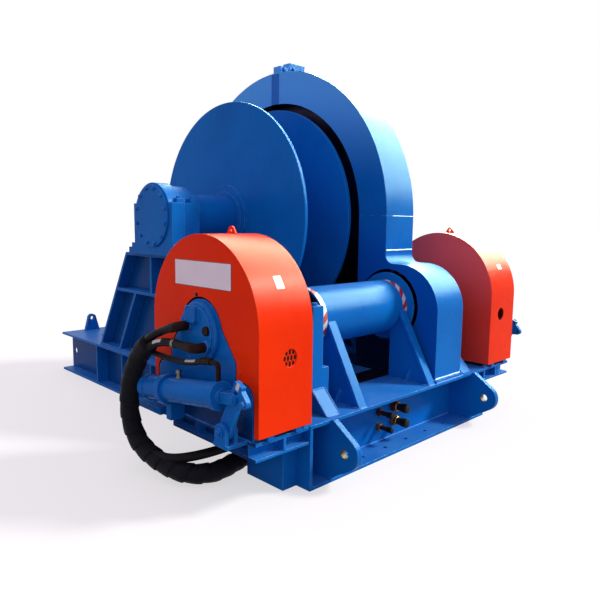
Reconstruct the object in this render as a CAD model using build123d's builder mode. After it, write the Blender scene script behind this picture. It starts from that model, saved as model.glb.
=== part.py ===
"""Skid-mounted hydraulic drum winch, in millimetres.

X runs along the drum shaft, Y to the rear and Z up. The sizes along Y are taken from the drum shaft, and
the finished pieces are moved so that the origin lies on the underside of the skid, in its middle.
"""
import math
import os

from build123d import *

# Skid of plate girders
base_height = 390.0
flange_plate = 20.0
web_plate = 14.0
frame_overhang = 108.0
frame_margin = 8.0
frame_rear_length = 755.0
cross_flange_width = 400.0
side_flange_width = 220.0
front_cross_set_back = 87.0
rear_cross_set_back = 137.0
stiffener_plate = 16.0
stiffener_pitch = 490.0
stiffener_count = 5
stiffener_set_back = 771.0
end_plate = 20.0
deck_hole_diameter = 30.0
deck_hole_pitch = 240.0
deck_hole_count = 7
rear_deck_hole_count = 5
deck_hole_centre_x = 54.0
deck_hole_edge = 88.0
web_hole_diameter = 60.0
web_hole_inset = 75.0

# Lifting and lashing plates
padeye_plate = 40.0
padeye_offset = 28.0
padeye_hole_diameter = 56.0
padeye_nose_radius = 100.0
padeye_reach = 110.0
padeye_hole_drop = 180.0
padeye_root = 20.0
padeye_foot_z = 40.0
rear_padeye_set_in = 77.0
rear_padeye_width = 152.0
rear_padeye_height = 166.0
rear_padeye_nose_radius = 42.0
rear_padeye_inset = 45.0
rear_padeye_hole_diameter = 40.0

# Wing platforms outside the frame
wing_front_inset = 7.0
wing_ledge = 37.0
wing_floor_set_back = 160.0
wing_edge_depth = 50.0
wing_top_plate = 20.0
wing_lower_plate = 16.0
wing_height = 106.0
wing_lip = 60.0
wing_rib_count = 4
wing_box_width = 107.0
wing_box_set_back = 106.0
wing_box_length = 323.0
wing_shelf_reach = 60.0
wing_shelf_depth = 40.0
wing_shelf_lap = 110.0
wing_shelf_overhang = 170.0

# Drum and its shaft
drum_radius = 950.0
drum_flange = 35.0
drum_rim_round = 7.0
drum_left_face = -223.0
drum_gap = 455.0
barrel_radius = 400.0
barrel_wall = 30.0
hub_wall = 35.0
hub_step = 55.0
hub_ring_depth = 20.0
hub_depth = 36.0
drum_shaft_radius = 180.0
journal_radius = 130.0
shaft_end_gap = 8.0
spacer_radius = 800.0
spacer_wall = 40.0
seat_clearance = 0.05
running_clearance = 0.08

# Drum bearings and their pedestals
bearing_casing_gap = 6.0
bearing_length = 253.0
bearing_front = 109.0
bearing_set_in = 19.0
bearing_ledge = 27.0
bearing_bush_wall = 70.0
bearing_wall = 54.0
bearing_sole = 46.0
bearing_split = 100.0
bearing_step_reach = 75.0
bearing_step_height = 88.0
bearing_foot_reach = 50.0
bearing_foot_height = 52.0
bearing_cover = 16.0
bearing_cover_inset = 15.0
bearing_cover_round = 5.0
cap_ear_length = 62.0
cap_ear_stations = (85.0, 205.0)
cap_ear_overhang = 8.0
cap_ear_height = 32.0
pedestal_casing_gap = 13.0
pedestal_top_margin = 151.0
pedestal_spread = 540.0
pedestal_width = 196.0
pedestal_plate = 24.0
pedestal_web = 20.0
pedestal_upper_height = 330.0
pedestal_rib_y = 130.0
pedestal_strut_top = 380.0
pedestal_strut_foot = 701.0

# Gear pair
gear_module = 25.0
gear_teeth = 98
pinion_teeth = 20
pressure_angle = 20.0
tooth_backlash = 1.6
tooth_root_share = 1.25
gear_flank_points = 3
pinion_flank_points = 5
gear_front_gap = 45.0
gear_rear_gap = 86.0
gear_face = 200.0
pinion_overhang = 8.0
gear_rim = 84.0
gear_web = 40.0
gear_hub_wall = 120.0
gear_hole_radius = 130.0
gear_hole_circle = 560.0
gear_hole_count = 6
pinion_drop_angle = 26.6

# Gear casing of bent sheet
casing_drum_gap = 23.0
casing_sheet = 10.0
casing_gear_gap = 26.0
casing_opening_gap = 63.0
casing_fillet = 75.0
casing_joint_height = 25.0
hump_forward = 113.0
hump_drop = 17.5
hump_gap = 53.0
casing_tube_gap = 24.0
casing_shaft_gap = 30.0
casing_foot_reach = 30.0
casing_foot_plate = 20.0
strap_width = 86.0
strap_plate = 8.0
joint_lugs = ((17.0, 98.0, 60.0), (133.0, 187.0, 105.0))
joint_lug_plate = 45.0

# Pinion shaft, its tube and bearings
pinion_shaft_radius = 80.0
pinion_shaft_overhang = 27.0
pinion_shaft_chamfer = 5.0
tube_radius = 198.0
tube_wall = 12.0
tube_end_gap = 75.0
tube_disc_step = 57.0
tube_disc_plate = 18.0
tube_disc_gap = 7.0
tube_disc_clearance = 6.0
stand_left_inset = 80.0
stand_right_inset = 68.0
stand_web = 20.0
stand_bar_width = 70.0
stand_bar_plate = 22.0
stand_foot_inset = 10.0
stand_rear_inset = 7.0
stand_top_drop = 9.5
stand_gusset_height = 100.0
stand_gusset_length = 60.0
block_casing_gap = 4.0
block_foot_step = 55.0
block_plate = 91.0
block_top_rise = 125.5
block_front_reach = 320.0
block_pedestal_gap = 29.0
block_foot_height = 265.0
block_wedge_height = 138.0
block_wedge_length = 131.0
block_wedge_width = 110.0
block_bush_wall = 25.0

# Orange hoods over the brakes
guard_gap = 12.0
guard_width = 388.0
guard_sheet = 6.0
guard_band_gap = 63.0
guard_lift = 49.5
guard_ground_gap = 27.0
guard_shaft_gap = 35.0
guard_foot_size = 46.0
guard_foot_lap = 40.0
guard_key_gap = 12.0
guard_fitting_offset = 26.0
vent_height = 428.0
vent_radius = 50.0
vent_lap = 8.0
vent_disc_plate = 3.0
vent_hole_radius = 5.5
vent_hole_pitch = 17.0
vent_hole_rows = 5
eye_height = 23.0
eye_outer_radius = 22.0
eye_inner_radius = 12.0
eye_plate = 12.0
eye_foot_half = 40.0
eye_foot_height = 4.0

# Brakes
brake_drum_radius = 420.0
brake_drum_width = 180.0
brake_ground_gap = 87.5
brake_rim = 32.0
brake_web = 30.0
brake_hub_wall = 70.0
brake_hub_length = 230.0
brake_band = 14.0
brake_band_gap = 3.0
brake_band_width = 150.0
brake_band_open_angle = 40.0
brake_anchor_width = 110.0
brake_anchor_plate = 40.0

# Motors and the plates that carry them
motor_plate = 30.0
motor_plate_top_radius = 190.0
motor_plate_half = 457.0
motor_plate_shoulder = 294.0
motor_plate_neck_half = 310.0
motor_plate_neck_drop = 124.5
motor_plate_chin = 180.0
motor_plate_chin_rise = 45.5
motor_plate_corner = 70.0
motor_radius = 175.0
motor_body = 30.0
motor_chamfer = 7.5
motor_cover_radius = 150.0
motor_cover = 12.0
motor_cap_offset = (15.0, 108.0)
motor_cap_size = 95.0
motor_cap_round = 19.0
motor_cap = 26.0
motor_ports = ((64.0, 37.0, 15.0), (-100.0, -66.0, 0.0))
motor_plug = (-112.0, 26.0)
motor_plug_radius = 26.0
motor_plug_length = 14.0
port_radius = 28.0
port_boss_wall = 8.5
elbow_length = 58.0
elbow_sleeve = 50.0
elbow_bend_radius = 33.5

# Brake levers and their hydraulic cylinders
lever_offset = 95.0
lever_plate = 30.0
lever_set_back = 134.0
lever_pivot_height = 62.0
lever_lean = 23.9
lever_length = 302.0
lever_foot_radius = 48.0
lever_head_radius = 30.0
lever_pin_radius = 15.0
lever_ear = (-73.0, 232.0)
lever_ear_radius = 26.0
lever_ear_hole_radius = 12.0
lever_slot_clearance = 2.0
lever_slot_travel = 32.0
lever_slot_lead = 10.5
bracket_plate = 20.0
bracket_gap = 5.0
bracket_length = 120.0
cylinder_tilt = 8.0
cylinder_radius = 72.5
cylinder_length = 755.0
cylinder_head_wall = 6.5
cylinder_head = 46.0
gland_wall = 16.0
gland_length = 16.0
rod_radius = 24.0
rod_reach = 124.0
rod_inside = 210.0
rod_bore_depth = 330.0
fork_arm = 214.0
fork_cheek = 14.0
fork_gap = 2.0
fork_wall = 15.0
fork_root = 18.0
fork_length = 78.0
saddle_plate = 50.0
saddle_station = 528.0
saddle_wall = 18.0
brake_port_station = 30.0
brake_port_radius = 14.0
brake_port_height = 92.0
brake_port_reach = 60.0
brake_port_bend_radius = 21.0

# Hydraulic bulkhead couplings in the front web
coupling_large_radius = 27.0
coupling_large_nut = 42.0
coupling_large_places = ((33.0, 246.0), (33.0, 141.0))
coupling_small_radius = 17.0
coupling_small_nut = 27.0
coupling_small_places = ((-138.0, 234.0), (-138.0, 130.0))
coupling_nut_length = 30.0
coupling_length = 115.0

# Hydraulic hoses
bundle_diameter = 120.0
motor_hose_diameter = 48.0
brake_hose_diameter = 34.0
tail_hose_diameter = 56.0
bundle_dip = 35.0
hose_pair_spread = 27.0
hose_pair_shift = 12.0
bundle_lead = 95.0
upper_hose_lead = 45.0
lower_hose_lead = 60.0
brake_hose_lead = 55.0
upper_hose_lap = 80.0
lower_hose_lap = 20.0
hose_arc_share = 0.45

# Heights, and the two shafts, with the pinion in front of and below the drum
under_flange = base_height - flange_plate
band_inner = brake_drum_radius + brake_band_gap
band_outer = band_inner + brake_band
centre_distance = gear_module * (gear_teeth + pinion_teeth) / 2
pinion_drop = math.radians(pinion_drop_angle)
pinion_y = -centre_distance * math.cos(pinion_drop)
pinion_z = base_height + band_outer + brake_ground_gap
drum_axis_z = pinion_z + centre_distance * math.sin(pinion_drop)
drum_axis = (0.0, drum_axis_z)
pinion_axis = (pinion_y, pinion_z)

# Stations along X, from the drum outwards
drum_right_face = drum_left_face + 2 * drum_flange + drum_gap
casing_front_x = drum_right_face + casing_drum_gap
gear_start_x = casing_front_x + casing_sheet + gear_front_gap
gear_end_x = gear_start_x + gear_face
gear_web_start = gear_start_x + (gear_face - gear_web) / 2
casing_rear_x = gear_end_x + gear_rear_gap + casing_sheet
bearing_inner_x = casing_rear_x + bearing_casing_gap
bearing_outer_x = bearing_inner_x + bearing_length
side_beam_x = casing_rear_x + pedestal_casing_gap + pedestal_width / 2
side_inner_x = side_beam_x - side_flange_width / 2
side_outer_x = side_beam_x + side_flange_width / 2
block_foot_inner_x = casing_rear_x + block_casing_gap
block_inner_x = block_foot_inner_x + block_foot_step
block_outer_x = block_inner_x + block_plate
tube_left_x = -block_foot_inner_x + tube_end_gap
tube_right_x = casing_front_x - tube_disc_gap
stand_x = (tube_left_x + stand_left_inset, tube_right_x - stand_right_inset)
frame_half_length = side_outer_x + frame_overhang
guard_inner_x = frame_half_length + guard_gap
guard_outer_x = guard_inner_x + guard_width
guard_middle_x = (guard_inner_x + guard_outer_x) / 2
guard_fitting_x = guard_middle_x - guard_fitting_offset
wing_outer_x = guard_outer_x
brake_drum_x = guard_middle_x
pinion_shaft_half = guard_outer_x + pinion_shaft_overhang
motor_face_x = guard_outer_x + motor_body + motor_cover
lever_x = wing_outer_x + lever_offset
padeye_x = side_beam_x + padeye_offset
rear_padeye_x = side_inner_x - rear_padeye_set_in

# Round sizes that follow from a shaft or a gear
hub_radius = drum_shaft_radius + hub_wall
hub_ring_radius = hub_radius + hub_step
gear_hub_radius = drum_shaft_radius + gear_hub_wall
gear_root_radius = gear_module * (gear_teeth / 2 - tooth_root_share)
bearing_bush_radius = journal_radius + bearing_bush_wall
bearing_radius = bearing_bush_radius + bearing_wall
bearing_cover_radius = bearing_radius - bearing_cover_inset
bearing_side_half = bearing_radius + bearing_ledge
block_bush_radius = pinion_shaft_radius + block_bush_wall
brake_hub_radius = pinion_shaft_radius + brake_hub_wall
tube_disc_radius = tube_radius + tube_disc_step
casing_radius = gear_module * (gear_teeth / 2 + 1) + casing_gear_gap + casing_sheet
casing_opening_radius = drum_radius + casing_opening_gap
hump_radius = gear_module * (pinion_teeth / 2 + 1) + hump_gap + casing_sheet
guard_radius = band_outer + guard_band_gap + guard_sheet
cylinder_head_radius = cylinder_radius + cylinder_head_wall
gland_radius = rod_radius + gland_wall
fork_radius = lever_pin_radius + fork_wall

# Places along Y and Z
hump_y = pinion_y - hump_forward
hump_z = pinion_z - hump_drop
casing_foot_front = hump_y - hump_radius - casing_foot_reach
casing_joint_z = drum_axis_z + casing_joint_height
front_cross_y = -casing_opening_radius - front_cross_set_back
rear_cross_y = casing_opening_radius + rear_cross_set_back
frame_front = casing_foot_front - frame_margin
frame_rear = rear_cross_y + frame_rear_length
front_web_y = frame_front + cross_flange_width / 2
front_flange_rear = frame_front + cross_flange_width
rear_web_y = frame_rear - cross_flange_width / 2
padeye_hole_z = base_height - padeye_hole_drop
guard_y = pinion_y
guard_z = pinion_z + guard_lift
guard_bottom = base_height + guard_ground_gap
wing_front = frame_front + wing_front_inset
wing_top_rear = guard_y + guard_radius - wing_ledge
wing_rear = wing_top_rear - wing_floor_set_back
wing_box_front = wing_front + wing_box_set_back
wing_box_rear = wing_box_front + wing_box_length
pedestal_top_z = drum_axis_z - bearing_radius - bearing_sole
pedestal_shelf_z = pedestal_top_z - pedestal_upper_height
bearing_step_half = bearing_radius + bearing_step_reach
bearing_foot_half = bearing_step_half + bearing_foot_reach
pedestal_top_half = bearing_foot_half + pedestal_top_margin
pedestal_foot_half = pedestal_top_half + pedestal_spread
stand_foot_y = frame_front + stand_foot_inset
stand_rear_y = front_flange_rear - stand_rear_inset
stand_top_z = pinion_z - stand_top_drop
block_front_y = pinion_y - block_front_reach
block_rear_y = -pedestal_foot_half - block_pedestal_gap
lever_pivot_y = frame_front + lever_set_back
lever_pivot_z = base_height + lever_pivot_height
middle_y = (frame_front - padeye_reach - padeye_nose_radius + frame_rear) / 2

os.makedirs("parts", exist_ok=True)
pieces = {}


def block(x, y, z, mode=Mode.ADD):
    """Box between the given low and high values along X, Y and Z."""
    with Locations(((x[0] + x[1]) / 2, (y[0] + y[1]) / 2, (z[0] + z[1]) / 2)):
        Box(x[1] - x[0], y[1] - y[0], z[1] - z[0], mode=mode)


def bar(x, axis, radius, mode=Mode.ADD):
    """Round bar along X between two stations, about the axis through (y, z)."""
    with Locations(Location(((x[0] + x[1]) / 2, axis[0], axis[1]), (0, 90, 0))):
        Cylinder(radius, x[1] - x[0], mode=mode)


def girder_section(flange_width):
    """I-section that stands on the local x axis."""
    with BuildSketch() as section:
        with Locations((0, flange_plate / 2), (0, base_height - flange_plate / 2)):
            Rectangle(flange_width, flange_plate)
        with Locations((0, base_height / 2)):
            Rectangle(web_plate, base_height)
    return section.sketch


def mirrored(builder):
    """The same piece on the other side of the skid."""
    with BuildPart() as other:
        mirror(builder.part, about=Plane.YZ)
    return other


# Front girder: the full length of the skid, with end plates, deck bolt holes and coupling holes
with BuildPart() as front_beam:
    with BuildSketch(Plane.YZ.offset(-frame_half_length)):
        with Locations((front_web_y, 0)):
            add(girder_section(cross_flange_width))
    extrude(amount=2 * frame_half_length)
    for end in (-1, 1):
        with Locations((end * (frame_half_length - end_plate / 2), front_web_y, base_height / 2)):
            Box(end_plate, cross_flange_width, base_height - flange_plate)
    with BuildSketch(Plane.XY):
        with Locations((deck_hole_centre_x, frame_front + deck_hole_edge)):
            with GridLocations(deck_hole_pitch, 1, deck_hole_count, 1):
                Circle(deck_hole_diameter / 2)
    extrude(amount=flange_plate, mode=Mode.SUBTRACT)
    with BuildSketch(Plane.XZ.offset(-front_web_y)):
        with Locations(*coupling_large_places):
            Circle(coupling_large_radius)
        with Locations(*coupling_small_places):
            Circle(coupling_small_radius)
    extrude(amount=web_plate, both=True, mode=Mode.SUBTRACT)
pieces["front_beam"] = front_beam

# Rear girder: set between the side girders, its web let in between their flanges
with BuildPart() as rear_beam:
    with BuildSketch(Plane.YZ.offset(-side_inner_x)):
        with Locations((rear_web_y, 0)):
            add(girder_section(cross_flange_width))
    extrude(amount=2 * side_inner_x)
    rear_web_half = side_beam_x - web_plate / 2
    block((-rear_web_half, rear_web_half), (rear_web_y - web_plate / 2, rear_web_y + web_plate / 2),
          (flange_plate, under_flange))
    with BuildSketch(Plane.XY):
        with Locations((deck_hole_centre_x, frame_rear - deck_hole_edge)):
            with GridLocations(deck_hole_pitch, 1, rear_deck_hole_count, 1):
                Circle(deck_hole_diameter / 2)
    extrude(amount=flange_plate, mode=Mode.SUBTRACT)
pieces["rear_beam"] = rear_beam

# Side girders: they carry the drum pedestals and have web stiffeners on their outer side
with BuildPart() as left_side_beam:
    with BuildSketch(Plane.XZ.offset(-frame_rear)):
        with Locations((-side_beam_x, 0)):
            add(girder_section(side_flange_width))
    extrude(amount=frame_rear - front_flange_rear)
    block((-side_beam_x - web_plate / 2, -side_beam_x + web_plate / 2),
          (front_web_y + web_plate / 2, front_flange_rear), (flange_plate, under_flange))
    for index in range(stiffener_count):
        stiffener_y = frame_rear - stiffener_set_back - index * stiffener_pitch
        block((-side_outer_x, -side_beam_x), (stiffener_y - stiffener_plate, stiffener_y),
              (flange_plate, under_flange))
    with Locations(Location((-side_beam_x, frame_rear - web_hole_inset, base_height / 2), (0, 90, 0))):
        Cylinder(web_hole_diameter / 2, 2 * web_plate, mode=Mode.SUBTRACT)
pieces["left_side_beam"] = left_side_beam
pieces["right_side_beam"] = mirrored(left_side_beam)

# Inner cross girders, in front of and behind the drum pit
with BuildPart() as cross_beams:
    for cross_y in (front_cross_y, rear_cross_y):
        with BuildSketch(Plane.YZ.offset(-side_inner_x)):
            with Locations((cross_y, 0)):
                add(girder_section(side_flange_width))
        extrude(amount=2 * side_inner_x)
pieces["cross_beams"] = cross_beams

# Deck plate between the front girder and the front cross girder
with BuildPart() as deck_plate:
    block((-side_inner_x, side_inner_x), (front_flange_rear, front_cross_y - side_flange_width / 2),
          (under_flange, base_height))
pieces["deck_plate"] = deck_plate

# Front padeyes: thick plates on the web whose noses stand out in front of the flanges
nose_y = frame_front - padeye_reach
with BuildPart() as front_padeyes:
    for side in (-1, 1):
        with BuildSketch(Plane.YZ.offset(side * padeye_x - padeye_plate / 2)):
            with BuildSketch(mode=Mode.PRIVATE) as nose:
                with Locations((nose_y, padeye_hole_z)):
                    Circle(padeye_nose_radius)
                with Locations((frame_front, base_height)):
                    Rectangle(padeye_root, base_height - padeye_foot_z, align=(Align.MAX, Align.MAX))
                make_hull()
            add(nose.sketch)
            with Locations((frame_front, base_height / 2)):
                Rectangle(front_web_y - web_plate / 2 - frame_front, base_height - 2 * flange_plate,
                          align=(Align.MIN, Align.CENTER))
            with Locations((nose_y, padeye_hole_z)):
                Circle(padeye_hole_diameter / 2, mode=Mode.SUBTRACT)
        extrude(amount=padeye_plate)
pieces["front_padeyes"] = front_padeyes

# Rear padeyes: upright tapered plates on the rear girder's top flange
rear_padeye_nose_z = base_height + rear_padeye_height - rear_padeye_nose_radius
with BuildPart() as rear_padeyes:
    for side in (-1, 1):
        with BuildSketch(Plane.XZ.offset(-frame_rear + rear_padeye_inset)):
            with Locations((side * rear_padeye_x, rear_padeye_nose_z)):
                Circle(rear_padeye_nose_radius)
            with Locations((side * rear_padeye_x, (base_height + rear_padeye_nose_z) / 2)):
                Trapezoid(rear_padeye_width, rear_padeye_nose_z - base_height,
                          math.degrees(math.atan2(rear_padeye_nose_z - base_height,
                                                  rear_padeye_width / 2 - rear_padeye_nose_radius)))
            with Locations((side * rear_padeye_x, rear_padeye_nose_z)):
                Circle(rear_padeye_hole_diameter / 2, mode=Mode.SUBTRACT)
        extrude(amount=padeye_plate / 2, both=True)
pieces["rear_padeyes"] = rear_padeyes

# Wing platforms: two plates joined by set-in webs and edge ribs, with a deep box under the inner part
wing_floor = base_height - wing_height
with BuildPart() as left_wing:
    block((-wing_outer_x, -frame_half_length), (wing_front, wing_top_rear),
          (base_height - wing_top_plate, base_height))
    block((-frame_half_length, -side_outer_x), (front_flange_rear, wing_top_rear),
          (base_height - wing_top_plate, base_height))
    block((-wing_outer_x, -wing_outer_x + stiffener_plate), (wing_rear, wing_top_rear),
          (base_height - wing_edge_depth, base_height))
    block((-wing_outer_x, -frame_half_length), (wing_front, wing_rear),
          (wing_floor, wing_floor + wing_lower_plate))
    block((-wing_outer_x + wing_lip, -frame_half_length), (wing_front + wing_lip, wing_rear),
          (wing_floor, base_height - wing_top_plate / 2))
    rib_span = wing_rear - stiffener_plate - wing_front - wing_lip
    for index in range(wing_rib_count):
        rib_y = wing_front + wing_lip + rib_span * index / (wing_rib_count - 1)
        block((-wing_outer_x, -wing_outer_x + wing_lip), (rib_y, rib_y + stiffener_plate),
              (wing_floor, base_height - wing_top_plate / 2))
    front_rib_x = -(wing_outer_x + frame_half_length) / 2
    block((front_rib_x, front_rib_x + stiffener_plate), (wing_front, wing_front + wing_lip),
          (wing_floor, base_height - wing_top_plate / 2))
    block((-frame_half_length - wing_box_width, -frame_half_length), (wing_box_front, wing_box_rear),
          (0, wing_floor))
    block((-wing_outer_x - wing_shelf_reach, -wing_outer_x),
          (wing_top_rear - wing_shelf_lap, wing_top_rear + wing_shelf_overhang),
          (base_height - wing_shelf_depth, base_height))
pieces["left_wing"] = left_wing
pieces["right_wing"] = mirrored(left_wing)


# Drum pedestals: a web with sloped edge plates, a shelf, upright ribs and slanted struts
pedestal_slope = pedestal_spread / (pedestal_top_z - base_height)
strut_slope = (pedestal_strut_foot - pedestal_strut_top) / (pedestal_shelf_z - base_height)


def pedestal_half(z):
    """Half the pedestal's length along Y at height z."""
    return pedestal_top_half + (pedestal_top_z - z) * pedestal_slope


def strut_inner(z):
    """Inner face of the slanted struts below the shelf."""
    return pedestal_strut_top + (pedestal_shelf_z - z) * strut_slope - strut_width / 2


pocket_top = pedestal_top_z - pedestal_plate
shelf_over = pedestal_shelf_z + pedestal_plate / 2
shelf_under = pedestal_shelf_z - pedestal_plate / 2
pocket_foot = base_height + pedestal_plate
edge = pedestal_plate * math.hypot(1, pedestal_slope)
strut_width = pedestal_plate * math.hypot(1, strut_slope)
with BuildPart() as left_pedestal:
    with BuildSketch(Plane.YZ.offset(-side_beam_x - pedestal_width / 2)):
        with BuildLine():
            Polyline((-pedestal_foot_half, base_height), (-pedestal_top_half, pedestal_top_z),
                     (pedestal_top_half, pedestal_top_z), (pedestal_foot_half, base_height), close=True)
        make_face()
    extrude(amount=pedestal_width)
    for face_x, inward in ((-side_beam_x - pedestal_width / 2, 1), (-side_beam_x + pedestal_width / 2, -1)):
        with BuildSketch(Plane.YZ.offset(face_x)):
            with Locations((0, (shelf_over + pocket_top) / 2)):
                Rectangle(2 * pedestal_rib_y - pedestal_plate, pocket_top - shelf_over)
            with BuildLine():
                Polyline((-strut_inner(shelf_under), shelf_under), (strut_inner(shelf_under), shelf_under),
                         (strut_inner(pocket_foot), pocket_foot), (-strut_inner(pocket_foot), pocket_foot),
                         close=True)
            make_face()
            for end in (-1, 1):
                rib = end * (pedestal_rib_y + pedestal_plate / 2)
                with BuildLine():
                    Polyline((rib, shelf_over), (rib, pocket_top),
                             (end * (pedestal_half(pocket_top) - edge), pocket_top),
                             (end * (pedestal_half(shelf_over) - edge), shelf_over), close=True)
                make_face()
                with BuildLine():
                    Polyline((end * (strut_inner(shelf_under) + strut_width), shelf_under),
                             (end * (pedestal_half(shelf_under) - edge), shelf_under),
                             (end * (pedestal_half(pocket_foot) - edge), pocket_foot),
                             (end * (strut_inner(pocket_foot) + strut_width), pocket_foot), close=True)
                make_face()
        extrude(amount=inward * (pedestal_width - pedestal_web) / 2, mode=Mode.SUBTRACT)
pieces["left_pedestal"] = left_pedestal
pieces["right_pedestal"] = mirrored(left_pedestal)

# Drum bearings: a split plummer block with a stepped foot, a plain bush and a bolted end cover
split_z = drum_axis_z + bearing_split
with BuildPart() as left_bearing_base:
    with BuildSketch(Plane.YZ.offset(-bearing_outer_x)):
        with Locations((0, pedestal_top_z)):
            Rectangle(2 * bearing_foot_half, bearing_foot_height, align=(Align.CENTER, Align.MIN))
            Rectangle(2 * bearing_step_half, bearing_step_height, align=(Align.CENTER, Align.MIN))
            Rectangle(2 * (bearing_side_half - bearing_set_in), split_z - pedestal_top_z,
                      align=(Align.CENTER, Align.MIN))
    extrude(amount=bearing_length)
    block((-bearing_outer_x, -bearing_outer_x + bearing_front), (-bearing_side_half, bearing_side_half),
          (pedestal_top_z, split_z))
    bar((-bearing_outer_x, -bearing_inner_x), drum_axis, bearing_bush_radius, mode=Mode.SUBTRACT)
pieces["left_bearing_base"] = left_bearing_base
pieces["right_bearing_base"] = mirrored(left_bearing_base)

with BuildPart() as bearing_caps:
    bar((-bearing_outer_x, -bearing_outer_x + bearing_front), drum_axis, bearing_radius)
    bar((-bearing_outer_x, -bearing_inner_x), drum_axis, bearing_radius - bearing_set_in)
    split(bisect_by=Plane.XY.offset(split_z), keep=Keep.TOP)
    for station in cap_ear_stations:
        with Locations((-bearing_outer_x + station, 0, split_z)):
            Box(cap_ear_length, 2 * (bearing_radius + cap_ear_overhang), cap_ear_height,
                align=(Align.CENTER, Align.CENTER, Align.MIN))
    bar((-bearing_outer_x, -bearing_inner_x), drum_axis, bearing_bush_radius, mode=Mode.SUBTRACT)
    mirror(about=Plane.YZ)
pieces["bearing_caps"] = bearing_caps

with BuildPart() as bearing_covers:
    bar((-bearing_outer_x - bearing_cover, -bearing_outer_x), drum_axis, bearing_cover_radius)
    bar((bearing_outer_x, bearing_outer_x + bearing_cover), drum_axis, bearing_cover_radius)
    cover_edges = bearing_covers.edges().group_by(Axis.X)
    fillet(cover_edges[0] + cover_edges[-1], bearing_cover_round)
pieces["bearing_covers"] = bearing_covers

with BuildPart() as drum_bushes:
    for side in (-1, 1):
        stations = sorted((side * bearing_inner_x, side * bearing_outer_x))
        bar(stations, drum_axis, bearing_bush_radius - seat_clearance)
        bar(stations, drum_axis, journal_radius + running_clearance, mode=Mode.SUBTRACT)
pieces["drum_bushes"] = drum_bushes

# Drum: two flanges welded to a barrel, stepped hubs on the left one and a spacer ring for the bull gear
shaft_seat = drum_shaft_radius + seat_clearance
with BuildPart() as drum_flanges:
    bar((drum_left_face, drum_left_face + drum_flange), drum_axis, drum_radius)
    bar((drum_right_face - drum_flange, drum_right_face), drum_axis, drum_radius)
    fillet(drum_flanges.edges().filter_by(GeomType.CIRCLE), drum_rim_round)
    bar((drum_left_face - hub_ring_depth, drum_left_face), drum_axis, hub_ring_radius)
    bar((drum_left_face - hub_depth, drum_left_face), drum_axis, hub_radius)
    bar((drum_left_face - hub_depth, drum_right_face), drum_axis, shaft_seat, mode=Mode.SUBTRACT)
pieces["drum_flanges"] = drum_flanges

with BuildPart() as drum_barrel:
    barrel_stations = (drum_left_face + drum_flange, drum_right_face - drum_flange)
    bar(barrel_stations, drum_axis, barrel_radius)
    bar(barrel_stations, drum_axis, barrel_radius - barrel_wall, mode=Mode.SUBTRACT)
pieces["drum_barrel"] = drum_barrel

with BuildPart() as gear_spacer:
    bar((drum_right_face, gear_web_start), drum_axis, spacer_radius)
    bar((drum_right_face, gear_web_start), drum_axis, spacer_radius - spacer_wall, mode=Mode.SUBTRACT)
pieces["gear_spacer"] = gear_spacer

with BuildPart() as drum_shaft:
    shoulder_x = bearing_inner_x - shaft_end_gap
    shaft_end_x = bearing_outer_x - shaft_end_gap
    bar((-shoulder_x, shoulder_x), drum_axis, drum_shaft_radius)
    bar((-shaft_end_x, shaft_end_x), drum_axis, journal_radius)
pieces["drum_shaft"] = drum_shaft


# Spur gears: involute flanks worked out at a few radii
def gear_outline(axis, teeth, phase, radii_per_flank):
    """Corner points of a spur gear about the axis (y, z), with a tooth's middle at the phase angle."""
    pitch_radius = gear_module * teeth / 2
    base_radius = pitch_radius * math.cos(math.radians(pressure_angle))
    tip_radius = pitch_radius + gear_module
    root_radius = pitch_radius - tooth_root_share * gear_module
    half_tooth = math.pi / (2 * teeth) - tooth_backlash / (4 * pitch_radius)
    roll = math.radians(pressure_angle)
    pitch_involute = math.tan(roll) - roll

    def half_angle(radius):
        angle = math.acos(min(1.0, base_radius / max(radius, base_radius)))
        return half_tooth + pitch_involute - (math.tan(angle) - angle)

    low = max(root_radius, base_radius)
    flank = [low + (tip_radius - low) * k / (radii_per_flank - 1) for k in range(radii_per_flank)]
    if root_radius < base_radius:
        flank.insert(0, root_radius)
    outline = []
    for tooth in range(teeth):
        middle = phase + 2 * math.pi * tooth / teeth
        rising = [(radius, middle - half_angle(radius)) for radius in flank]
        falling = [(radius, middle + half_angle(radius)) for radius in reversed(flank)]
        outline += [(axis[0] + radius * math.cos(angle), axis[1] + radius * math.sin(angle))
                    for radius, angle in rising + falling]
    return outline


with BuildPart() as bull_gear:
    gear_points = gear_outline(drum_axis, gear_teeth, math.pi + pinion_drop, gear_flank_points)
    with BuildSketch(Plane.YZ.offset(gear_start_x)):
        with BuildLine():
            Polyline(*gear_points, close=True)
        make_face()
    extrude(amount=gear_face)
    for start, end in ((gear_start_x, gear_web_start), (gear_web_start + gear_web, gear_end_x)):
        with BuildSketch(Plane.YZ.offset(start)):
            with Locations(drum_axis):
                Circle(gear_root_radius - gear_rim)
                Circle(gear_hub_radius, mode=Mode.SUBTRACT)
        extrude(amount=end - start, mode=Mode.SUBTRACT)
    with BuildSketch(Plane.YZ.offset(gear_web_start)):
        with Locations(drum_axis):
            with PolarLocations(gear_hole_circle, gear_hole_count):
                Circle(gear_hole_radius)
    extrude(amount=gear_web, mode=Mode.SUBTRACT)
    bar((gear_start_x, gear_end_x), drum_axis, shaft_seat, mode=Mode.SUBTRACT)
pieces["bull_gear"] = bull_gear

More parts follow.
